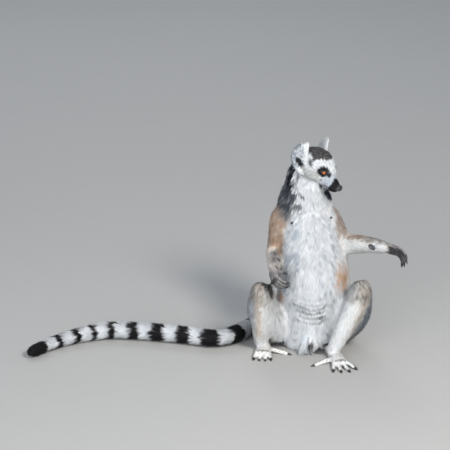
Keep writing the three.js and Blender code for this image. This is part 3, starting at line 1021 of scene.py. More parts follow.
def skin_base():
    """The joined flesh as one even surface, smoothed most on the trunk and limbs."""
    mesh = evaluated(joined_flesh(), "REMESH", mode="VOXEL", voxel_size=SKIN_VOXEL, adaptivity=0)
    points, net = read_points(mesh), Net(mesh)
    paws = np.zeros(len(points))
    for node in PAWS:
        paws[in_box(points, node, 0.001)] = 1
    local = head_place(points / MM)
    face = (
        step(local[:, 1], 4, 14) * step(np.abs(local[:, 0]), 40, 34) * step(local[:, 1], 70, 62)
        * step(local[:, 2], -44, -38) * step(local[:, 2], 44, 38)
    )
    near_head = np.zeros(len(points))
    for node in ("head", "right_ear", "left_ear"):
        near_head[in_box(points, node, 0.002)] = 1
    face = face * near_head
    ears = in_box(points, "right_ear", 0.001) | in_box(points, "left_ear", 0.001)
    calm = np.max([paws * 0.97, face * 0.8, ears * 0.93, near_head * 0.55], axis=0)
    calm = net.smooth(calm, 6)
    points = net.smooth(points, 8, 0.5 * (1 - 0.7 * step(calm, 0.8, 0.95)))
    points = net.smooth(points, 60, 0.5 * (1 - calm) ** 1.5)
    write_points(mesh, points)
    plain = np.flatnonzero(calm < 0.35)
    ratio = SKIN_TRIANGLES / (2 * len(mesh.polygons))
    return evaluated(mesh, "DECIMATE", ratio=ratio, group=plain, vertex_group_factor=0.12)


def refined_face(mesh):
    """Halves the skin's edges over the face, and again around the eyes, for lids and lips."""
    bm = bmesh.new()
    bm.from_mesh(mesh)
    for closest in (False, True):
        local = head_place(np.array([v.co for v in bm.verts]) / MM)
        folded = folded_over(local)
        if closest:
            face = np.linalg.norm(folded - EYE_AT - GAZE * EYE_RADIUS, axis=1) < 9.5
        else:
            face = (folded[:, 1] > 9) & (folded[:, 0] < 30) & (np.abs(folded[:, 2] + 2) < 35)
            face &= np.linalg.norm(folded, axis=1) < 70
        bm.verts.ensure_lookup_table()
        edges = [e for e in bm.edges if face[e.verts[0].index] and face[e.verts[1].index]]
        bmesh.ops.subdivide_edges(bm, edges=edges, cuts=1, use_grid_fill=True)
        bmesh.ops.triangulate(bm, faces=[f for f in bm.faces if len(f.verts) > 3])
        bm.verts.index_update()
    bm.to_mesh(mesh)
    bm.free()
    return mesh


def label_skin(points):
    """The nearest flesh node of each point."""
    corners, faces, owner, start = [], [], [], 0
    for index, name in enumerate(FLESH):
        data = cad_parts[name].data
        found = read_points(data)
        corners.append(found)
        faces.append(triangles_of(data) + start)
        owner += [index] * len(faces[-1])
        start += len(found)
    tree = BVHTree.FromPolygons(np.concatenate(corners).tolist(), np.concatenate(faces).tolist())
    near = [tree.find_nearest(p)[2] for p in points.tolist()]
    return np.array(owner)[near]


def shares_of(labels, net, times):
    """Soft membership of each node, which blends neighbours across their joints."""
    shares = np.zeros((len(labels), len(FLESH)), np.float32)
    shares[np.arange(len(labels)), labels] = 1
    return net.smooth(shares, times)


def share_of(shares, group):
    """How much of every place belongs to the parts of one kind."""
    return sum(shares[:, index] for index, name in enumerate(FLESH) if group_of(name) == group)


def blended(shares, by_group):
    """Adds up each group's values by its share of every point."""
    total = 0
    for group in GROUPS:
        members = [i for i, name in enumerate(FLESH) if group_of(name) == group]
        share = shares[:, members].sum(axis=1)
        used = np.flatnonzero(share > LEAST_SHARE)
        values = by_group(group, used)
        if np.isscalar(total):
            total = np.zeros((len(shares), values.shape[1]))
        total[used] += share[used, None] * values
    return total


def sink_to_skin(mesh, net, depth):
    """Moves the surface in by the coat's depth, a little at a time so that it can't fold."""
    points, outside = read_points(mesh), read_normals(mesh)
    for _ in range(SINK_STEPS):
        outward = unit(net.smooth(read_normals(mesh), 2))
        points = points - outward * (depth / SINK_STEPS)[:, None]
        write_points(mesh, points)
        crushed = (dots(outside, read_normals(mesh))[:, 0] < CRUSHED).astype(float)
        points = net.smooth(points, 12, 0.5 * step(net.smooth(crushed, 4), 0.0, 0.2))
        write_points(mesh, points)


def shape_face(points):
    """Lids over the eyeballs, the line of the mouth, the lip pads and the brow, in mm."""
    local = head_place(points)
    mine = (np.linalg.norm(local, axis=1) < 75) & (local[:, 1] > 6)
    side = np.sign(local[:, 0]) + (local[:, 0] == 0)
    apart = folded_over(local) - EYE_AT
    far = np.linalg.norm(apart, axis=1)
    way = apart / np.maximum(far, 1e-9)[:, None]
    facing = way @ GAZE
    hug = step(facing, 0.35, 0.72) * mine * (far < 14)
    over = EYE_RADIUS + LID_OVER
    reached = far * (1 - hug) + over * hug
    across, above = way @ GAZE_SIDE, way @ GAZE_UP
    close = (facing > 0) * mine * (far < 14)
    opening = lid_opening(across, above) * close
    reached = reached * (1 - opening) + (EYE_RADIUS - 1.7) * opening
    fold = np.exp(-(((above - 0.02 - 1.45 * lid_edges(across)[0]) / 0.07) ** 2))
    fold = fold * step(np.abs(across), 0.8, 0.5) * (facing > 0.2) * mine * (far < 12)
    reached = reached - 0.35 * fold
    folded = EYE_AT + way * reached[:, None]
    groove = step(near_line(folded, MOUTH), 1.7, 0.2) * mine
    centre = np.array([0.0, 30.0, -14.0])
    inward = unit(centre - folded)
    folded = folded + inward * (0.9 * groove)[:, None]
    for place, size, rise in (([9.5, 41, -24], 5.0, 0.7), ([16, 18, -16], 7.0, 0.6),
                              ([12.5, 25, 9.5], 4.0, 0.7)):
        bump = np.exp(-((np.linalg.norm(folded - place, axis=1) / size) ** 2)) * mine
        folded = folded - inward * (rise * bump)[:, None]
    folded[:, 0] *= side
    moved = folded @ HEAD_AXES.T + HEAD_AT
    rim = lid_opening(across / 1.22, above / 1.42) * close
    return np.where(mine[:, None], moved, points), np.maximum(opening, rim)


def lid_edges(across):
    """The heights of the upper and the lower lid's edge. Both are 0 beyond the lids' corners."""
    share = np.clip(1 - (across / LID_HALF_WIDTH) ** 2, 0, 1)
    return LID_ABOVE * np.sqrt(share), -LID_BELOW * share**0.75


def lid_opening(across, above):
    """1 inside the almond between the lids."""
    upper, lower = lid_edges(across)
    inside = np.minimum(upper - above, above - lower)
    return step(inside, -0.01, 0.05) * (upper > 0)


def digits_of(node):
    """Each digit's joints in mm in the row frame, with its radius at the tip."""
    start, _, _, _, length, radius, digits, thumb = PAWS[node]
    axes = paw_axes(node)
    found = []
    back, across, *bend = thumb
    rays = [([length - radius, a, 0], radius, rest) for a, *rest in digits]
    rays.append(([length * back, across, -1], radius * THUMB_SHARE, bend))
    for at, size, (reach, splay, curl) in rays:
        at, joints = np.array(at, float), []
        for bone in range(1, 4):
            joints.append(at.copy())
            drop, turn = math.radians(curl * bone), math.radians(splay)
            way = np.array([math.cos(turn) * math.cos(drop), math.sin(turn) * math.cos(drop),
                            -math.sin(drop)])
            at = at + way * reach / 3
        joints.append(at.copy())
        found.append((np.array(joints) @ axes.T + start, size * (1 - 3 * DIGIT_TAPER)))
    return found


def between_digits(points, shares):
    """1 in the gaps between fingers and toes, which lie in shade."""
    gap = np.zeros(len(points))
    for node, (start, _, _, _, length, radius, *_) in PAWS.items():
        used = np.flatnonzero(shares[:, FLESH.index(node)] > 0.5)
        ahead = (points[used] - start) @ paw_axes(node)[:, 0]
        near = np.min([near_line(points[used], joints) for joints, _ in digits_of(node)], axis=0)
        gap[used] = step(near / radius, 1.0, 1.35) * step(ahead, length - radius, length)
    return gap


def bare_share(points, normals, shares):
    """1 on palms, soles and fingertips, 0 on fur."""
    bare = np.zeros(len(points))
    for node in PAWS:
        share = shares[:, FLESH.index(node)]
        over = paw_axes(node)[:, 2]
        foot = "foot" in node
        under = step(normals @ over, *((-0.45, -0.8) if foot else (0.05, -0.35)))
        tips = np.zeros(len(points))
        used = np.flatnonzero(share > 0.05)
        for joints, _ in digits_of(node):
            near = np.linalg.norm(points[used] - joints[-1], axis=1)
            tips[used] = np.maximum(tips[used], step(near, *((5.5, 3.5) if foot else (7, 5))))
        bare = np.maximum(bare, share * np.maximum(under, tips))
    return bare


def skin_tone(points, shares, bare):
    """The markings and their painted shade, darker in shade between the digits, and leather where
    the skin is bare.
    """
    tone = blended(shares, lambda group, used: TONES[group](points[used]))
    tone = cross_marks(points, tone, share_of(shares, "ear"))
    tone = tone * (1 - 0.7 * between_digits(points, shares))[:, None]
    leather = PALM * (1 + 0.5 * wobble(points, 3, 101))[:, None]
    paws = share_of(shares, "foot") + share_of(shares, "hand")
    return mixed(tone, leather, np.clip(bare * paws, 0, 1))


def skin_lie(points, normals, shares, net):
    """The way the coat lies along the skin at every place."""
    lie = np.zeros_like(points)
    for index, name in enumerate(FLESH):
        used = np.flatnonzero(shares[:, index] > LEAST_SHARE)
        lie[used] += shares[used, index, None] * unit(lie_of(name, points[used]))
    lie = mixed(lie, np.array([0.0, -0.25, -1.0]), 0.8 * groin_area(points))
    lie = net.smooth(unit(lie - normals * dots(lie, normals)), 6)
    return unit(lie - normals * dots(lie, normals))


def build_skin():
    mesh = refined_face(skin_base())
    net = Net(mesh)
    points = read_points(mesh)
    labels = label_skin(points)
    shares = shares_of(labels, net, 8)
    outline = points / MM
    measures = blended(shares, lambda group, used: coat_measures(group, outline[used]))
    measures = net.smooth(measures, 3)
    sink_to_skin(mesh, net, measures[:, 0] * MM)
    points = net.smooth(read_points(mesh), 2, 0.4)
    shaped, opening = shape_face(points / MM)
    write_points(mesh, shaped * MM)
    shaped = shaped - read_normals(mesh) * (FOLD_DEPTH * belly_fold(shaped))[:, None]
    shaped[:, 2] = np.maximum(shaped[:, 2], SKIN_FLOOR)
    write_points(mesh, shaped * MM)
    normals = read_normals(mesh)
    bare = bare_share(shaped, normals, shares)
    tone = skin_tone(shaped, shares, bare)
    skin.update(
        points=shaped, normals=normals, labels=labels, measures=measures, tone=tone, bare=bare,
        lie=skin_lie(shaped, normals, shares, net), opening=opening, triangles=triangles_of(mesh),
        tree=tree_of(shaped),
    )
    # Painted shade: the skin under a deep coat is painted darker, for the shade among the hairs.
    under = tone * (0.5 + 0.5 * bare)[:, None]
    under = mixed(under, tone, step(measures[:, 0], 3.0, 1.2))  # darker only where the coat is deep
    write_colours(mesh, TONE, under)
    write_values(mesh, BARE, bare)
    shade_smooth(mesh)
    mesh.name = "skin"
    return mesh


# ---- The coat -----------------------------------------------------------------------------------

ROOT_SINK = 0.175  # mm that a tuft starts under the skin
TIP_FLOOR, ROOT_FLOOR = 0.25, 0.1  # mm above the floor, below which no tip and no root lies
LENGTHS, WIDTHS = (0.72, 1.25), (0.75, 1.25)  # how a tuft's size varies about its measure
RISES = (0.72, 1.08)  # how high a tuft's tip stands, as a share of the coat's depth
TUFTS_IN_LOCK = 17
LOCK_SHADES, TUFT_SHADES = (0.76, 1.08), (0.92, 1.07)
CELL_MARGIN = 0.01  # between the unwraps of two parts
# Painted shade: a pale tuft is painted this grey at its root, for the shade deep in the coat.
ROOT_SHADE = np.array([0.42, 0.45, 0.49])  # a pale hair is this grey at its root


def scatter(rng, share_of_faces, density_scale):
    """Roots spread evenly over the skin's triangles, by the density there."""
    tri = skin["triangles"]
    corners = skin["points"][tri]
    area = np.linalg.norm(
        np.cross(corners[:, 1] - corners[:, 0], corners[:, 2] - corners[:, 0]), axis=1
    ) / 2
    density = skin["measures"][tri, 3].mean(axis=1) * (1 - skin["bare"][tri].mean(axis=1))
    weight = area * density / 100 * density_scale * share_of_faces
    total = np.cumsum(weight)
    count = int(total[-1])
    spots = (np.arange(count) + rng.uniform(0, 1, count)) * total[-1] / count
    face = np.searchsorted(total, spots, side="right").clip(0, len(tri) - 1)
    a, b = rng.uniform(0, 1, (2, count))
    over = a + b > 1
    a[over], b[over] = 1 - a[over], 1 - b[over]
    return face, np.column_stack([1 - a - b, a, b])


def on_skin(values, face, bary):
    corners = values[skin["triangles"][face]]
    weights = bary if corners.ndim == 2 else bary[..., None]
    return (corners * weights).sum(axis=1)


def follow(points, lie, reach):
    """A step along the skin: the new foot of each point, and the skin's normal and depth there."""
    aim = points + lie * reach[:, None]
    near = nearest_in(skin["tree"], aim)
    normals = skin["normals"][near]
    foot = aim - normals * dots(aim - skin["points"][near], normals)
    return foot, normals, skin["measures"][near, 0]


def unwrap(points, node):
    """The place of points on a node's skin, opened out from a cylinder about its longest axis."""
    corners = read_points(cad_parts[node].data) / MM
    centre = corners.mean(axis=0)
    _, axes = np.linalg.eigh(np.cov((corners - centre).T))
    across, other, along = axes[:, 0], axes[:, 1], axes[:, 2]
    span = np.abs((corners - centre) @ along).max() * 1.02
    rel = points - centre
    return np.column_stack([
        np.arctan2(rel @ other, rel @ across) / math.tau + 0.5,
        np.clip((rel @ along) / span / 2 + 0.5, 0, 1),
    ])


def bake_places(points, labels):
    """Where each root lies on the coat piece's own unwrap: every node has a cell of its own."""
    nodes = sorted(set(labels.tolist()))
    columns = math.ceil(math.sqrt(len(nodes)))
    rows = math.ceil(len(nodes) / columns)
    found = np.zeros((len(points), 2))
    for cell, node in enumerate(nodes):
        used = labels == node
        place = unwrap(points[used], FLESH[node])
        low, high = place.min(axis=0), place.max(axis=0)
        place = (place - low) / np.maximum(high - low, 1e-6)
        corner = np.array([cell % columns / columns, cell // columns / rows])
        size = np.array([1 / columns, 1 / rows]) - 2 * CELL_MARGIN - PATCH
        found[used] = corner + CELL_MARGIN + place * size
    return found


def tuft_mesh(name, rings, tip, tones, shading, places):
    """Joins closed, tapered, three-sided tufts: a ring of three at the root, and the tip."""
    count = len(tip)
    verts = np.concatenate([rings, tip[:, None]], axis=1)
    corners = np.array([0, 1, 3, 1, 2, 3, 2, 0, 3, 2, 1, 0])
    index = (np.arange(count) * 4)[:, None] + corners
    mesh = bpy.data.meshes.new(name)
    mesh.vertices.add(count * 4)
    mesh.loops.add(count * 12)
    mesh.polygons.add(count * 4)
    mesh.vertices.foreach_set("co", (verts * MM).astype(np.float32).ravel())
    mesh.loops.foreach_set("vertex_index", index.astype(np.int32).ravel())
    mesh.polygons.foreach_set("loop_start", np.arange(0, count * 12, 3, dtype=np.int32))
    shade_smooth(mesh)
    mesh.update(calc_edges=True)
    write_colours(mesh, TONE, tones.reshape(-1, 3))
    patch = []
    for side in range(3):
        patch += [[side / 3, 0], [(side + 1) / 3, 0], [(side + 0.5) / 3, 1]]
    patch += [[0, -0.2], [0.5, -0.02], [1, -0.2]]
    layer = mesh.uv_layers.new(name=UV_NAME)
    uv = places[:, None] + np.array(patch)[None] * PATCH
    layer.data.foreach_set("uv", uv.astype(np.float32).ravel())
    mesh.normals_split_custom_set_from_vertices(shading.reshape(-1, 3).tolist())
    return mesh


def grow(name, nodes, seed, keep=None, clump=0.45, stray=0.07):
    """Grows one piece of the coat on the given nodes, its tufts gathered in locks."""
    rng = np.random.default_rng(seed)
    settings = bpy.context.scene.lemur_coat
    first = skin["triangles"][:, 0]
    mine = np.isin(skin["labels"][first], [FLESH.index(n) for n in nodes]).astype(float)
    if keep is not None:
        mine *= keep(skin["points"][first])
    face, bary = scatter(rng, mine, settings.density)
    root = on_skin(skin["points"], face, bary)
    shut = on_skin(skin["opening"], face, bary) < 0.02
    clear = shut & away_from_hard(root)
    face, bary, root = face[clear], bary[clear], root[clear]
    count = len(root)
    normal = unit(on_skin(skin["normals"], face, bary))
    lie = on_skin(skin["lie"], face, bary)
    depth, length, width, _, loose = on_skin(skin["measures"], face, bary).T
    length = length * rng.uniform(*LENGTHS, count) * settings.length
    width = width * rng.uniform(*WIDTHS, count) * settings.width
    wave = wobble(root, 9, 201)[:, None] * np.cross(normal, lie)
    lie = unit(lie + 0.16 * wave + rng.normal(0, stray, (count, 3)))
    lie = unit(lie - normal * dots(lie, normal))
    rise = rng.uniform(*RISES, count)
    foot, normal_there, depth_there = follow(root, lie, length)
    deep = np.minimum(depth, length * 0.55)
    tip = foot + normal_there * (np.minimum(depth_there, deep * 1.6) * rise)[:, None]
    straight = unit(lie + normal * (0.9 * deep * rise / length)[:, None])
    off = np.minimum(loose * rng.uniform(0.4, 1.5, count), 1)[:, None]
    tip = tip + (root + straight * length[:, None] - tip) * off
    root = root - normal * ROOT_SINK
    leader, lead = locks_of(root, rng)
    apart = np.linalg.norm(root - root[leader], axis=1)
    tip = tip + (tip[leader] - tip) * (clump * step(apart, length * 0.55 + 2, 0))[:, None]
    for place in (root, tip):
        place[:, 2] = np.maximum(place[:, 2], TIP_FLOOR)
    ahead = unit(tip - root)
    across = unit(np.cross(ahead, normal))
    over = np.cross(across, ahead)
    half = (width / 2)[:, None]
    rings = np.stack([root + across * half, root - across * half, root + over * half * 0.7], 1)
    rings[..., 2] = np.maximum(rings[..., 2], ROOT_FLOOR)
    soft = unit(normal + over)
    turned = mixed(normal, normal_there, step(dots(normal, normal_there)[:, 0], -0.3, 0.4))
    # A loose tuft that points up is lit from above, as the rims of the ears are.
    lift = ahead * (1.2 * loose * step(ahead[:, 2], 0.0, 0.6))[:, None]
    shading = np.stack([
        unit(soft + across * 0.45 + lift), unit(soft - across * 0.45 + lift), unit(soft + lift),
        unit(turned + over + lift),
    ], 1)
    tones = tuft_tones(rng, face, bary, root * 0.3 + tip * 0.7, lead)
    places = bake_places(root, skin["labels"][first[face]])
    return tuft_mesh(name, rings, tip, tones, shading, places)


def locks_of(root, rng):
    """The leader of each tuft's lock, and a shade of its own for every lock."""
    leaders = np.arange(0, len(root), TUFTS_IN_LOCK)
    lock = nearest_in(tree_of(root[leaders]), root)
    return leaders[lock], rng.uniform(*LOCK_SHADES, len(leaders))[lock]


def tuft_tones(rng, face, bary, seen, lead):
    """Each tuft takes the skin's marking under the part of it that shows, greyer at its root with
    painted shade and a little paler at its tip with painted light.
    """
    tone = skin["tone"][nearest_in(skin["tree"], seen)]
    pale = step(tone.mean(axis=1), 0.25, 0.6)
    shade = (rng.uniform(*TUFT_SHADES, len(seen)) * lead)[:, None]
    deep = step(on_skin(skin["measures"], face, bary)[:, 0], 1.0, 5.0)[:, None]
    # Painted shade in the belly's creases, on the tufts too.
    tone = np.clip(tone * shade * (1 - 0.6 * belly_fold(seen))[:, None], 0.004, 0.92)
    # Painted shade at each root, only where the coat is deep, and painted light at each tip.
    under = mixed(tone * 0.5, np.minimum(ROOT_SHADE, tone), pale * 0.9)
    base = tone * (1 - deep) + under * deep
    end = np.clip(tone * 1.1, 0.004, 0.94)
    return np.stack([base] * 3 + [end], axis=1)


# The glands, in mm: where each lies, how far round it no tufts grow, its half width and half
# height, and which way is up along it.
GLANDS = [
    ([104.1, -37.6, 197.2], 6.0, (7.0, 4.6), (0.5, 0, 1)),
    ([-54.4, -27.8, 171.8], 2.6, (1.3, 4.2), (0.2, 0, 1)),
    ([-31.1, -18.5, 229.8], 2.6, (2.0, 2.6), (0.5, 0, 1)),
    ([38.0, -12.5, 238.2], 2.4, (1.6, 2.2), (0.5, 0, 1)),
]


def away_from_hard(points):
    """True where tufts don't grow through the nose pad or a gland."""
    local = head_place(points)
    clear = np.linalg.norm((local - NOSE_AT) / (NOSE_SIZE + 0.4), axis=1) > 1
    for place, bald, _, _ in GLANDS:
        clear &= np.linalg.norm(points - place, axis=1) > bald
    return clear


# ---- Settings -----------------------------------------------------------------------------------


class LemurCoatSettings(bpy.types.PropertyGroup):
    length: FloatProperty(
        name="Length", description="Length of every tuft against its usual length",
        default=1.0, min=0.3, max=2.0, subtype="FACTOR",
    )
    width: FloatProperty(
        name="Width", description="Width of every tuft against its usual width",
        default=1.0, min=0.3, max=2.0, subtype="FACTOR",
    )
    density: FloatProperty(
        name="Density", description="How many tufts grow, against the usual number",
        default=1.0, min=0.05, max=1.0, subtype="FACTOR",
    )


class LemurFaceSettings(bpy.types.PropertyGroup):
    iris: FloatVectorProperty(
        name="Iris", description="Colour of the iris", subtype="COLOR", size=3,
        default=(0.56, 0.13, 0.004), min=0, max=1,
    )
    pupil: FloatProperty(
        name="Pupil", description="Half the pupil's width, as an angle seen from the eye's centre",
        default=math.radians(16), min=math.radians(5), max=math.radians(30), subtype="ANGLE",
    )
    nose: FloatVectorProperty(
        name="Nose", description="Colour of the nose pad", subtype="COLOR", size=3,
        default=(0.012, 0.011, 0.012), min=0, max=1,
    )


class LemurStageSettings(bpy.types.PropertyGroup):
    floor: FloatVectorProperty(
        name="Floor", description="Colour of the floor", subtype="COLOR", size=3,
        default=(0.42, 0.41, 0.39), min=0, max=1,
    )
    distance: FloatProperty(
        name="Distance", description="From the camera to the point it looks at",
        default=4.2, min=0.5, max=20, unit="LENGTH",
    )
    elevation: FloatProperty(
        name="Elevation", description="How far the camera looks down",
        default=math.radians(19), min=0, max=math.radians(80), subtype="ANGLE",
    )
    key: FloatProperty(
        name="Key light", description="Power of the key light",
        default=76.0, min=0, max=2000, unit="POWER",
    )


# ---- Operators ----------------------------------------------------------------------------------


class LEMUR_OT_skin(bpy.types.Operator):
    """Makes the one skin from all flesh nodes"""

    bl_idname = "lemur.skin"
    bl_label = "Skin"

    def execute(self, context):
        add_piece("skin", build_skin(), skin_material(), FLESH)
        return {"FINISHED"}


def face_matrix():
    """From the head's own frame, in mm, to the row frame, in metres."""
    turned = Matrix(HEAD_AXES.tolist()).to_4x4()
    return Matrix.Translation(Vector(HEAD_AT * MM)) @ turned @ Matrix.Scale(MM, 4)


def eye_material(settings):
    material, nodes, shader = new_material(
        "lemur_eye", Roughness=0.22, Coat_Weight=1.0, Coat_Roughness=0.02
    )
    angle = nodes.add("Attribute", attribute_name="Sight")
    noise = nodes.texture("Noise", Scale=900.0, Detail=3.0)
    warped = nodes.maths("MULTIPLY_ADD", noise.outputs["Fac"], 0.05, angle.outputs["Fac"])
    ramp = nodes.add("ValToRGB")
    iris, pupil = settings.iris, settings.pupil / (math.pi / 2)
    stops = [
        (pupil, (0.002, 0.002, 0.002)), (pupil + 0.035, tuple(c * 0.45 for c in iris)),
        (pupil + 0.11, tuple(iris)), (0.46, tuple(iris)), (0.56, tuple(c * 0.4 for c in iris)),
        (0.66, (0.006, 0.005, 0.005)),
    ]
    band = ramp.color_ramp
    band.elements[0].position, band.elements[1].position = stops[0][0], stops[-1][0]
    for at, _ in stops[1:-1]:
        band.elements.new(at)
    for element, (at, colour) in zip(band.elements, stops):
        element.position, element.color = at, (*colour, 1)
    nodes.link(warped, ramp.inputs["Fac"])
    nodes.link(ramp.outputs["Color"], shader.inputs["Base Color"])
    return material


class LEMUR_OT_eyes(bpy.types.Operator):
    """Makes the two eyeballs, each with its pupil and amber iris"""

    bl_idname = "lemur.eyes"
    bl_label = "Eyes"

    def execute(self, context):
        material = eye_material(context.scene.lemur_face)
        ahead = Vector((0, 0, 1))
        for name, side in (("right_eye", 1), ("left_eye", -1)):
            at = EYE_AT * [side, 1, 1]
            way = Vector(unit(GAZE - EYE_TURN * GAZE_SIDE) * [side, 1, 1])
            turn = ahead.rotation_difference(way).to_matrix().to_4x4()
            bm = bmesh.new()
            bmesh.ops.create_uvsphere(bm, u_segments=48, v_segments=36, radius=EYE_RADIUS - 0.05)
            for vert in bm.verts:
                vert.co.z += CORNEA * math.exp(-((vert.co.angle(ahead, 0.0) / 0.5) ** 2))
            place = face_matrix() @ Matrix.Translation(Vector(at)) @ turn
            bmesh.ops.transform(bm, matrix=place, verts=bm.verts)
            mesh = mesh_of(name + "ball", bm)
            facing = unit(head_place(read_points(mesh) / MM) - at) @ np.array(way)
            write_values(mesh, "Sight", np.arccos(np.clip(facing, -1, 1)) / (math.pi / 2))
            add_piece(name + "ball", mesh, material, [name])
        return {"FINISHED"}


class LEMUR_OT_lids(bpy.types.Operator):
    """Makes the dark rim of each pair of lids"""

    bl_idname = "lemur.lids"
    bl_label = "Lid rims"

    def execute(self, context):
        material = leather_material(
            "lemur_lid", LID_BLACK, 1600.0, 0.5, Roughness=0.34, Coat_Weight=0.3
        )
        for name, side in (("right_lids", 1), ("left_lids", -1)):
            bm = bmesh.new()
            ring = bmesh.ops.create_circle(
                bm, segments=8, radius=0.1,
                matrix=Matrix.Translation((1, 0, 0)) @ Matrix.Rotation(math.pi / 2, 4, "X"),
            )
            bmesh.ops.spin(
                bm, geom=ring["verts"] + list({e for v in ring["verts"] for e in v.link_edges}),
                cent=(0, 0, 0), axis=(0, 0, 1), angle=math.tau, steps=64, use_merge=True,
            )
            for vert in bm.verts:
                turn = math.atan2(vert.co.y, vert.co.x)
                out, rise = math.hypot(vert.co.x, vert.co.y) - 1, vert.co.z
                across = math.cos(turn) * LID_HALF_WIDTH
                above = lid_edges(across)[0 if math.sin(turn) > 0 else 1]
                spread = 1.03 + 1.5 * out
                size = EYE_RADIUS + 0.40 + 4.5 * rise
                flat = np.array([across * spread, above * spread + 0.12 * out * math.sin(turn)])
                ahead = math.sqrt(max(1 - flat @ flat, 0.02))
                way = GAZE_SIDE * flat[0] + GAZE_UP * flat[1] + GAZE * ahead
                place = EYE_AT + way * size
                vert.co = Vector((place[0] * side, place[1], place[2]))
            bmesh.ops.transform(bm, matrix=face_matrix(), verts=bm.verts)
            add_piece(name, mesh_of(name, bm), material)
        return {"FINISHED"}


class LEMUR_OT_nose(bpy.types.Operator):
    """Makes the nose pad with its two nostrils and the groove between them"""

    bl_idname = "lemur.nose"
    bl_label = "Nose pad"

    def execute(self, context):
        colour = tuple(context.scene.lemur_face.nose)
        material = leather_material(
            "lemur_nose", colour, 1500.0, 0.8,
            Roughness=0.36, Coat_Weight=0.35, Coat_Roughness=0.2,
        )
        bm = bmesh.new()
        bmesh.ops.create_uvsphere(bm, u_segments=56, v_segments=40, radius=1)
        for vert in bm.verts:
            x, y, z = vert.co
            size = 1.0
            hole = math.hypot((abs(x) - 0.46) / 0.24, (z + 0.02 + 0.35 * (abs(x) - 0.46)) / 0.15)
            slit = math.hypot((abs(x) - 0.74) / 0.26, (z + 0.16) / 0.09)
            if y > 0:
                size -= 0.30 * math.exp(-(min(hole, slit) ** 4))
                size -= 0.07 * math.exp(-((x / 0.07) ** 2)) * (z < 0.25)
                size += 0.06 * math.exp(-(((abs(x) - 0.46) / 0.3) ** 2 + ((z - 0.33) / 0.22) ** 2))
            ahead = y * size if y > 0 else y
            vert.co = Vector((x * size, ahead * (1 - 0.12 * max(z, 0)), z * size))
            vert.co.x *= 1 - 0.22 * max(-z, 0)
        place = Matrix.Translation(Vector(NOSE_AT)) @ Matrix.Diagonal((*NOSE_SIZE, 1))
        bmesh.ops.transform(bm, matrix=face_matrix() @ place, verts=bm.verts)
        add_piece("nose_pad", mesh_of("nose_pad", bm), material, ["nose"])
        return {"FINISHED"}


class LEMUR_OT_nails(bpy.types.Operator):
    """Makes the nail of every digit"""

    bl_idname = "lemur.nails"
    bl_label = "Nails"

    def execute(self, context):
        material = leather_material("lemur_nail", HORN, 500.0, 0.3, Roughness=0.35)
        for node in PAWS:
            along, _, over = (Vector(axis) for axis in paw_axes(node).T)
            bm = bmesh.new()
            for joints, radius in digits_of(node):
                ahead = Vector(joints[-1] - joints[-2]).normalized()
                across = over.cross(ahead)
                if across.length < 0.05:  # the tip points straight out of the palm or the back
                    across = over.cross(along)
                across.normalize()
                back = ahead.cross(across).normalized()
                axes = Matrix((ahead, across, back)).transposed().to_4x4()
                at = Vector(joints[-1]) + ahead * (radius * 0.50) + back * (radius * 0.34)
                size = Matrix.Diagonal((radius * 0.62, radius * 0.52, radius * 0.34, 1))
                made = bmesh.ops.create_uvsphere(
                    bm, u_segments=14, v_segments=10, radius=1,
                    matrix=Matrix.Scale(MM, 4) @ Matrix.Translation(at) @ axes @ size,
                )
                for vert in made["verts"]:
                    rel = vert.co / MM - at
                    lift = rel.dot(ahead) / radius
                    vert.co -= back * (max(lift, 0) ** 2 * radius * 0.5 * MM)
                    vert.co.z = max(vert.co.z, NAIL_FLOOR)
            name = node + "_nails"
            add_piece(name, mesh_of(name, bm), material)
        return {"FINISHED"}


class LEMUR_OT_glands(bpy.types.Operator):
    """Makes the bare gland patches of the wrists and shoulders"""

    bl_idname = "lemur.glands"
    bl_label = "Glands"

    def execute(self, context):
        material = leather_material(
            "lemur_gland", GLAND_GREY, 1100.0, 0.8, Roughness=0.32, Coat_Weight=0.2
        )
        bm = bmesh.new()
        for place, _, (wide, tall), up in GLANDS:
            _, index, _ = skin["tree"].find(place)
            normal = Vector(skin["normals"][index])
            depth = skin["measures"][index, 0]
            across = Vector(up).cross(normal).normalized()
            over = normal.cross(across)
            axes = Matrix((across, over, normal)).transposed().to_4x4()
            at = Vector(skin["points"][index]) + normal * (depth * 0.72)
            made = bmesh.ops.create_uvsphere(
                bm, u_segments=28, v_segments=16, radius=1,
                matrix=Matrix.Diagonal((wide, tall, depth * 0.35 + 0.6, 1)),
            )
            for vert in made["verts"]:
                reach = math.hypot(vert.co.x / wide, vert.co.y / tall)
                if vert.co.z > 0:
                    vert.co.z *= 0.35 + 0.9 * math.exp(-(((reach - 0.72) / 0.2) ** 2))
            bmesh.ops.transform(
                bm, matrix=Matrix.Scale(MM, 4) @ Matrix.Translation(at) @ axes, verts=made["verts"]
            )
        add_piece("glands", mesh_of("glands", bm), material)
        return {"FINISHED"}


def both(*stems):
    return [f"{side}_{stem}" for stem in stems for side in ("right", "left")]


def add_coat(name, nodes, seed, slot, **options):
    mesh = grow(name, nodes, seed, **options)
    add_piece(name, mesh, fur_material("lemur_" + name))


class LEMUR_OT_head_coat(bpy.types.Operator):
    """Grows the coat of the head and ears"""

    bl_idname = "lemur.head_coat"
    bl_label = "Head coat"

    def execute(self, context):
        add_coat("coat_head", ["head"], 1, "white_coat", clump=0.3)
        add_coat("coat_ears", both("ear"), 2, "white_coat", clump=0.6)
        add_coat("coat_neck", ["neck"], 3, "white_coat", clump=0.6)
        return {"FINISHED"}


class LEMUR_OT_trunk_coat(bpy.types.Operator):
    """Grows the coat of the trunk, front and back"""

    bl_idname = "lemur.trunk_coat"
    bl_label = "Trunk coat"

    def execute(self, context):
        add_coat("coat_front", ["trunk"], 4, "white_coat", keep=lambda p: p[:, 1] < 4)
        add_coat("coat_back", ["trunk"], 5, "grey_coat", keep=lambda p: p[:, 1] >= 4)
        return {"FINISHED"}


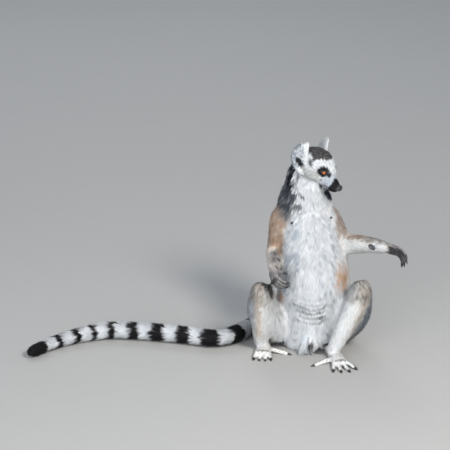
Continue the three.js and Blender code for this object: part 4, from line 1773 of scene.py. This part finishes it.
class LEMUR_OT_limb_coat(bpy.types.Operator):
    """Grows the coat of the arms, legs, hands and feet"""

    bl_idname = "lemur.limb_coat"
    bl_label = "Limb coat"

    def execute(self, context):
        add_coat("coat_arms", both("upper_arm", "forearm"), 6, "grey_coat")
        add_coat("coat_thighs", both("thigh"), 7, "grey_coat")
        add_coat("coat_shanks", both("shank"), 8, "white_coat")
        add_coat("coat_paws", both("hand", "foot"), 9, "white_coat", clump=0.3)
        return {"FINISHED"}


class LEMUR_OT_tail_coat(bpy.types.Operator):
    """Grows the bushy ringed coat of the tail"""

    bl_idname = "lemur.tail_coat"
    bl_label = "Tail coat"

    def execute(self, context):
        nodes = [name for name in FLESH if group_of(name) == "tail"]
        add_coat("coat_tail", nodes, 10, "ringed_coat", clump=0.4)
        return {"FINISHED"}


def add_light(name, place, target, size, power, colour=(1, 1, 1)):
    data = bpy.data.lights.new(name, "AREA")
    data.shape, data.size, data.energy, data.color = "DISK", size, power, colour
    light = bpy.data.objects.new(name, data)
    light.location = place
    light.rotation_euler = (Vector(target) - Vector(place)).to_track_quat("-Z", "Y").to_euler()
    bpy.context.scene.collection.objects.link(light)


class LEMUR_OT_stage(bpy.types.Operator):
    """Sets the pale floor, the soft lights and the camera"""

    bl_idname = "lemur.stage"
    bl_label = "Stage"

    AIM = Vector((-0.1453, 0.0684, 0.1986))
    FOCAL, SENSOR = 192.0, 36.0
    FLOOR_REACH = 8
    LIT = (0, 0, 0.18)
    SKY = (0.74, 0.84, 1.0, 1)

    def execute(self, context):
        settings = context.scene.lemur_stage
        bm = bmesh.new()
        bmesh.ops.create_grid(bm, x_segments=1, y_segments=1, size=self.FLOOR_REACH)
        floor = bpy.data.objects.new("floor", mesh_of("floor", bm))
        context.scene.collection.objects.link(floor)
        material, nodes, shader = new_material("floor", Roughness=0.9)
        colour = (*settings.floor, 1)
        colour_through(nodes, shader, "Mottle", Colour=colour, Coarse=3.0, Fine=40.0, Amount=0.04)
        floor.data.materials.append(material)

        add_light("key", (1.0, -2.0, 2.0), self.LIT, 0.8, settings.key, (1.0, 0.975, 0.94))
        add_light("fill", (-1.3, -2.9, 0.9), self.LIT, 2.4, settings.key * 1.05, (0.92, 0.96, 1.0))
        add_light("rim", (-0.6, 2.4, 2.2), self.LIT, 1.6, settings.key * 0.25)
        world = bpy.data.worlds.new("studio")
        world.use_nodes = True
        back = world.node_tree.nodes["Background"]
        back.inputs["Color"].default_value = self.SKY
        back.inputs["Strength"].default_value = 0.46
        context.scene.world = world
        context.scene.view_settings.view_transform = "Standard"

        data = bpy.data.cameras.new("camera")
        data.lens, data.sensor_width = self.FOCAL, self.SENSOR
        data.clip_start, data.clip_end = 0.1, 60.0
        camera = bpy.data.objects.new("camera", data)
        back = Vector((0, -math.cos(settings.elevation), math.sin(settings.elevation)))
        camera.location = self.AIM + back * settings.distance
        camera.rotation_euler = (-back).to_track_quat("-Z", "Y").to_euler()
        context.scene.collection.objects.link(camera)
        context.scene.camera = camera
        return {"FINISHED"}


class LEMUR_PT_panel(bpy.types.Panel):
    """Lists the steps that dress the lemur"""

    bl_idname = "LEMUR_PT_panel"
    bl_label = "Lemur"
    bl_space_type = "VIEW_3D"
    bl_region_type = "UI"
    bl_category = "Lemur"

    def draw(self, context):
        for name in SETTINGS:
            settings = getattr(context.scene, name)
            box = self.layout.box()
            for key in settings.__annotations__:
                box.prop(settings, key)
        for operator in OPERATORS:
            self.layout.operator(operator.bl_idname)


OPERATORS = [
    LEMUR_OT_skin, LEMUR_OT_eyes, LEMUR_OT_lids, LEMUR_OT_nose, LEMUR_OT_nails, LEMUR_OT_glands,
    LEMUR_OT_head_coat, LEMUR_OT_trunk_coat, LEMUR_OT_limb_coat, LEMUR_OT_tail_coat,
    LEMUR_OT_stage,
]
SETTINGS = {
    "lemur_coat": LemurCoatSettings,
    "lemur_face": LemurFaceSettings,
    "lemur_stage": LemurStageSettings,
}


def register():
    for kind in (*SETTINGS.values(), *OPERATORS, LEMUR_PT_panel):
        bpy.utils.register_class(kind)
    for name, kind in SETTINGS.items():
        setattr(bpy.types.Scene, name, PointerProperty(type=kind))


def unregister():
    for name in SETTINGS:
        delattr(bpy.types.Scene, name)
    for kind in (LEMUR_PT_panel, *reversed(OPERATORS), *SETTINGS.values()):
        bpy.utils.unregister_class(kind)


def main():
    register()
    for operator in OPERATORS:
        getattr(bpy.ops.lemur, operator.bl_idname.split(".")[1])()


if __name__ == "__main__":
    main()
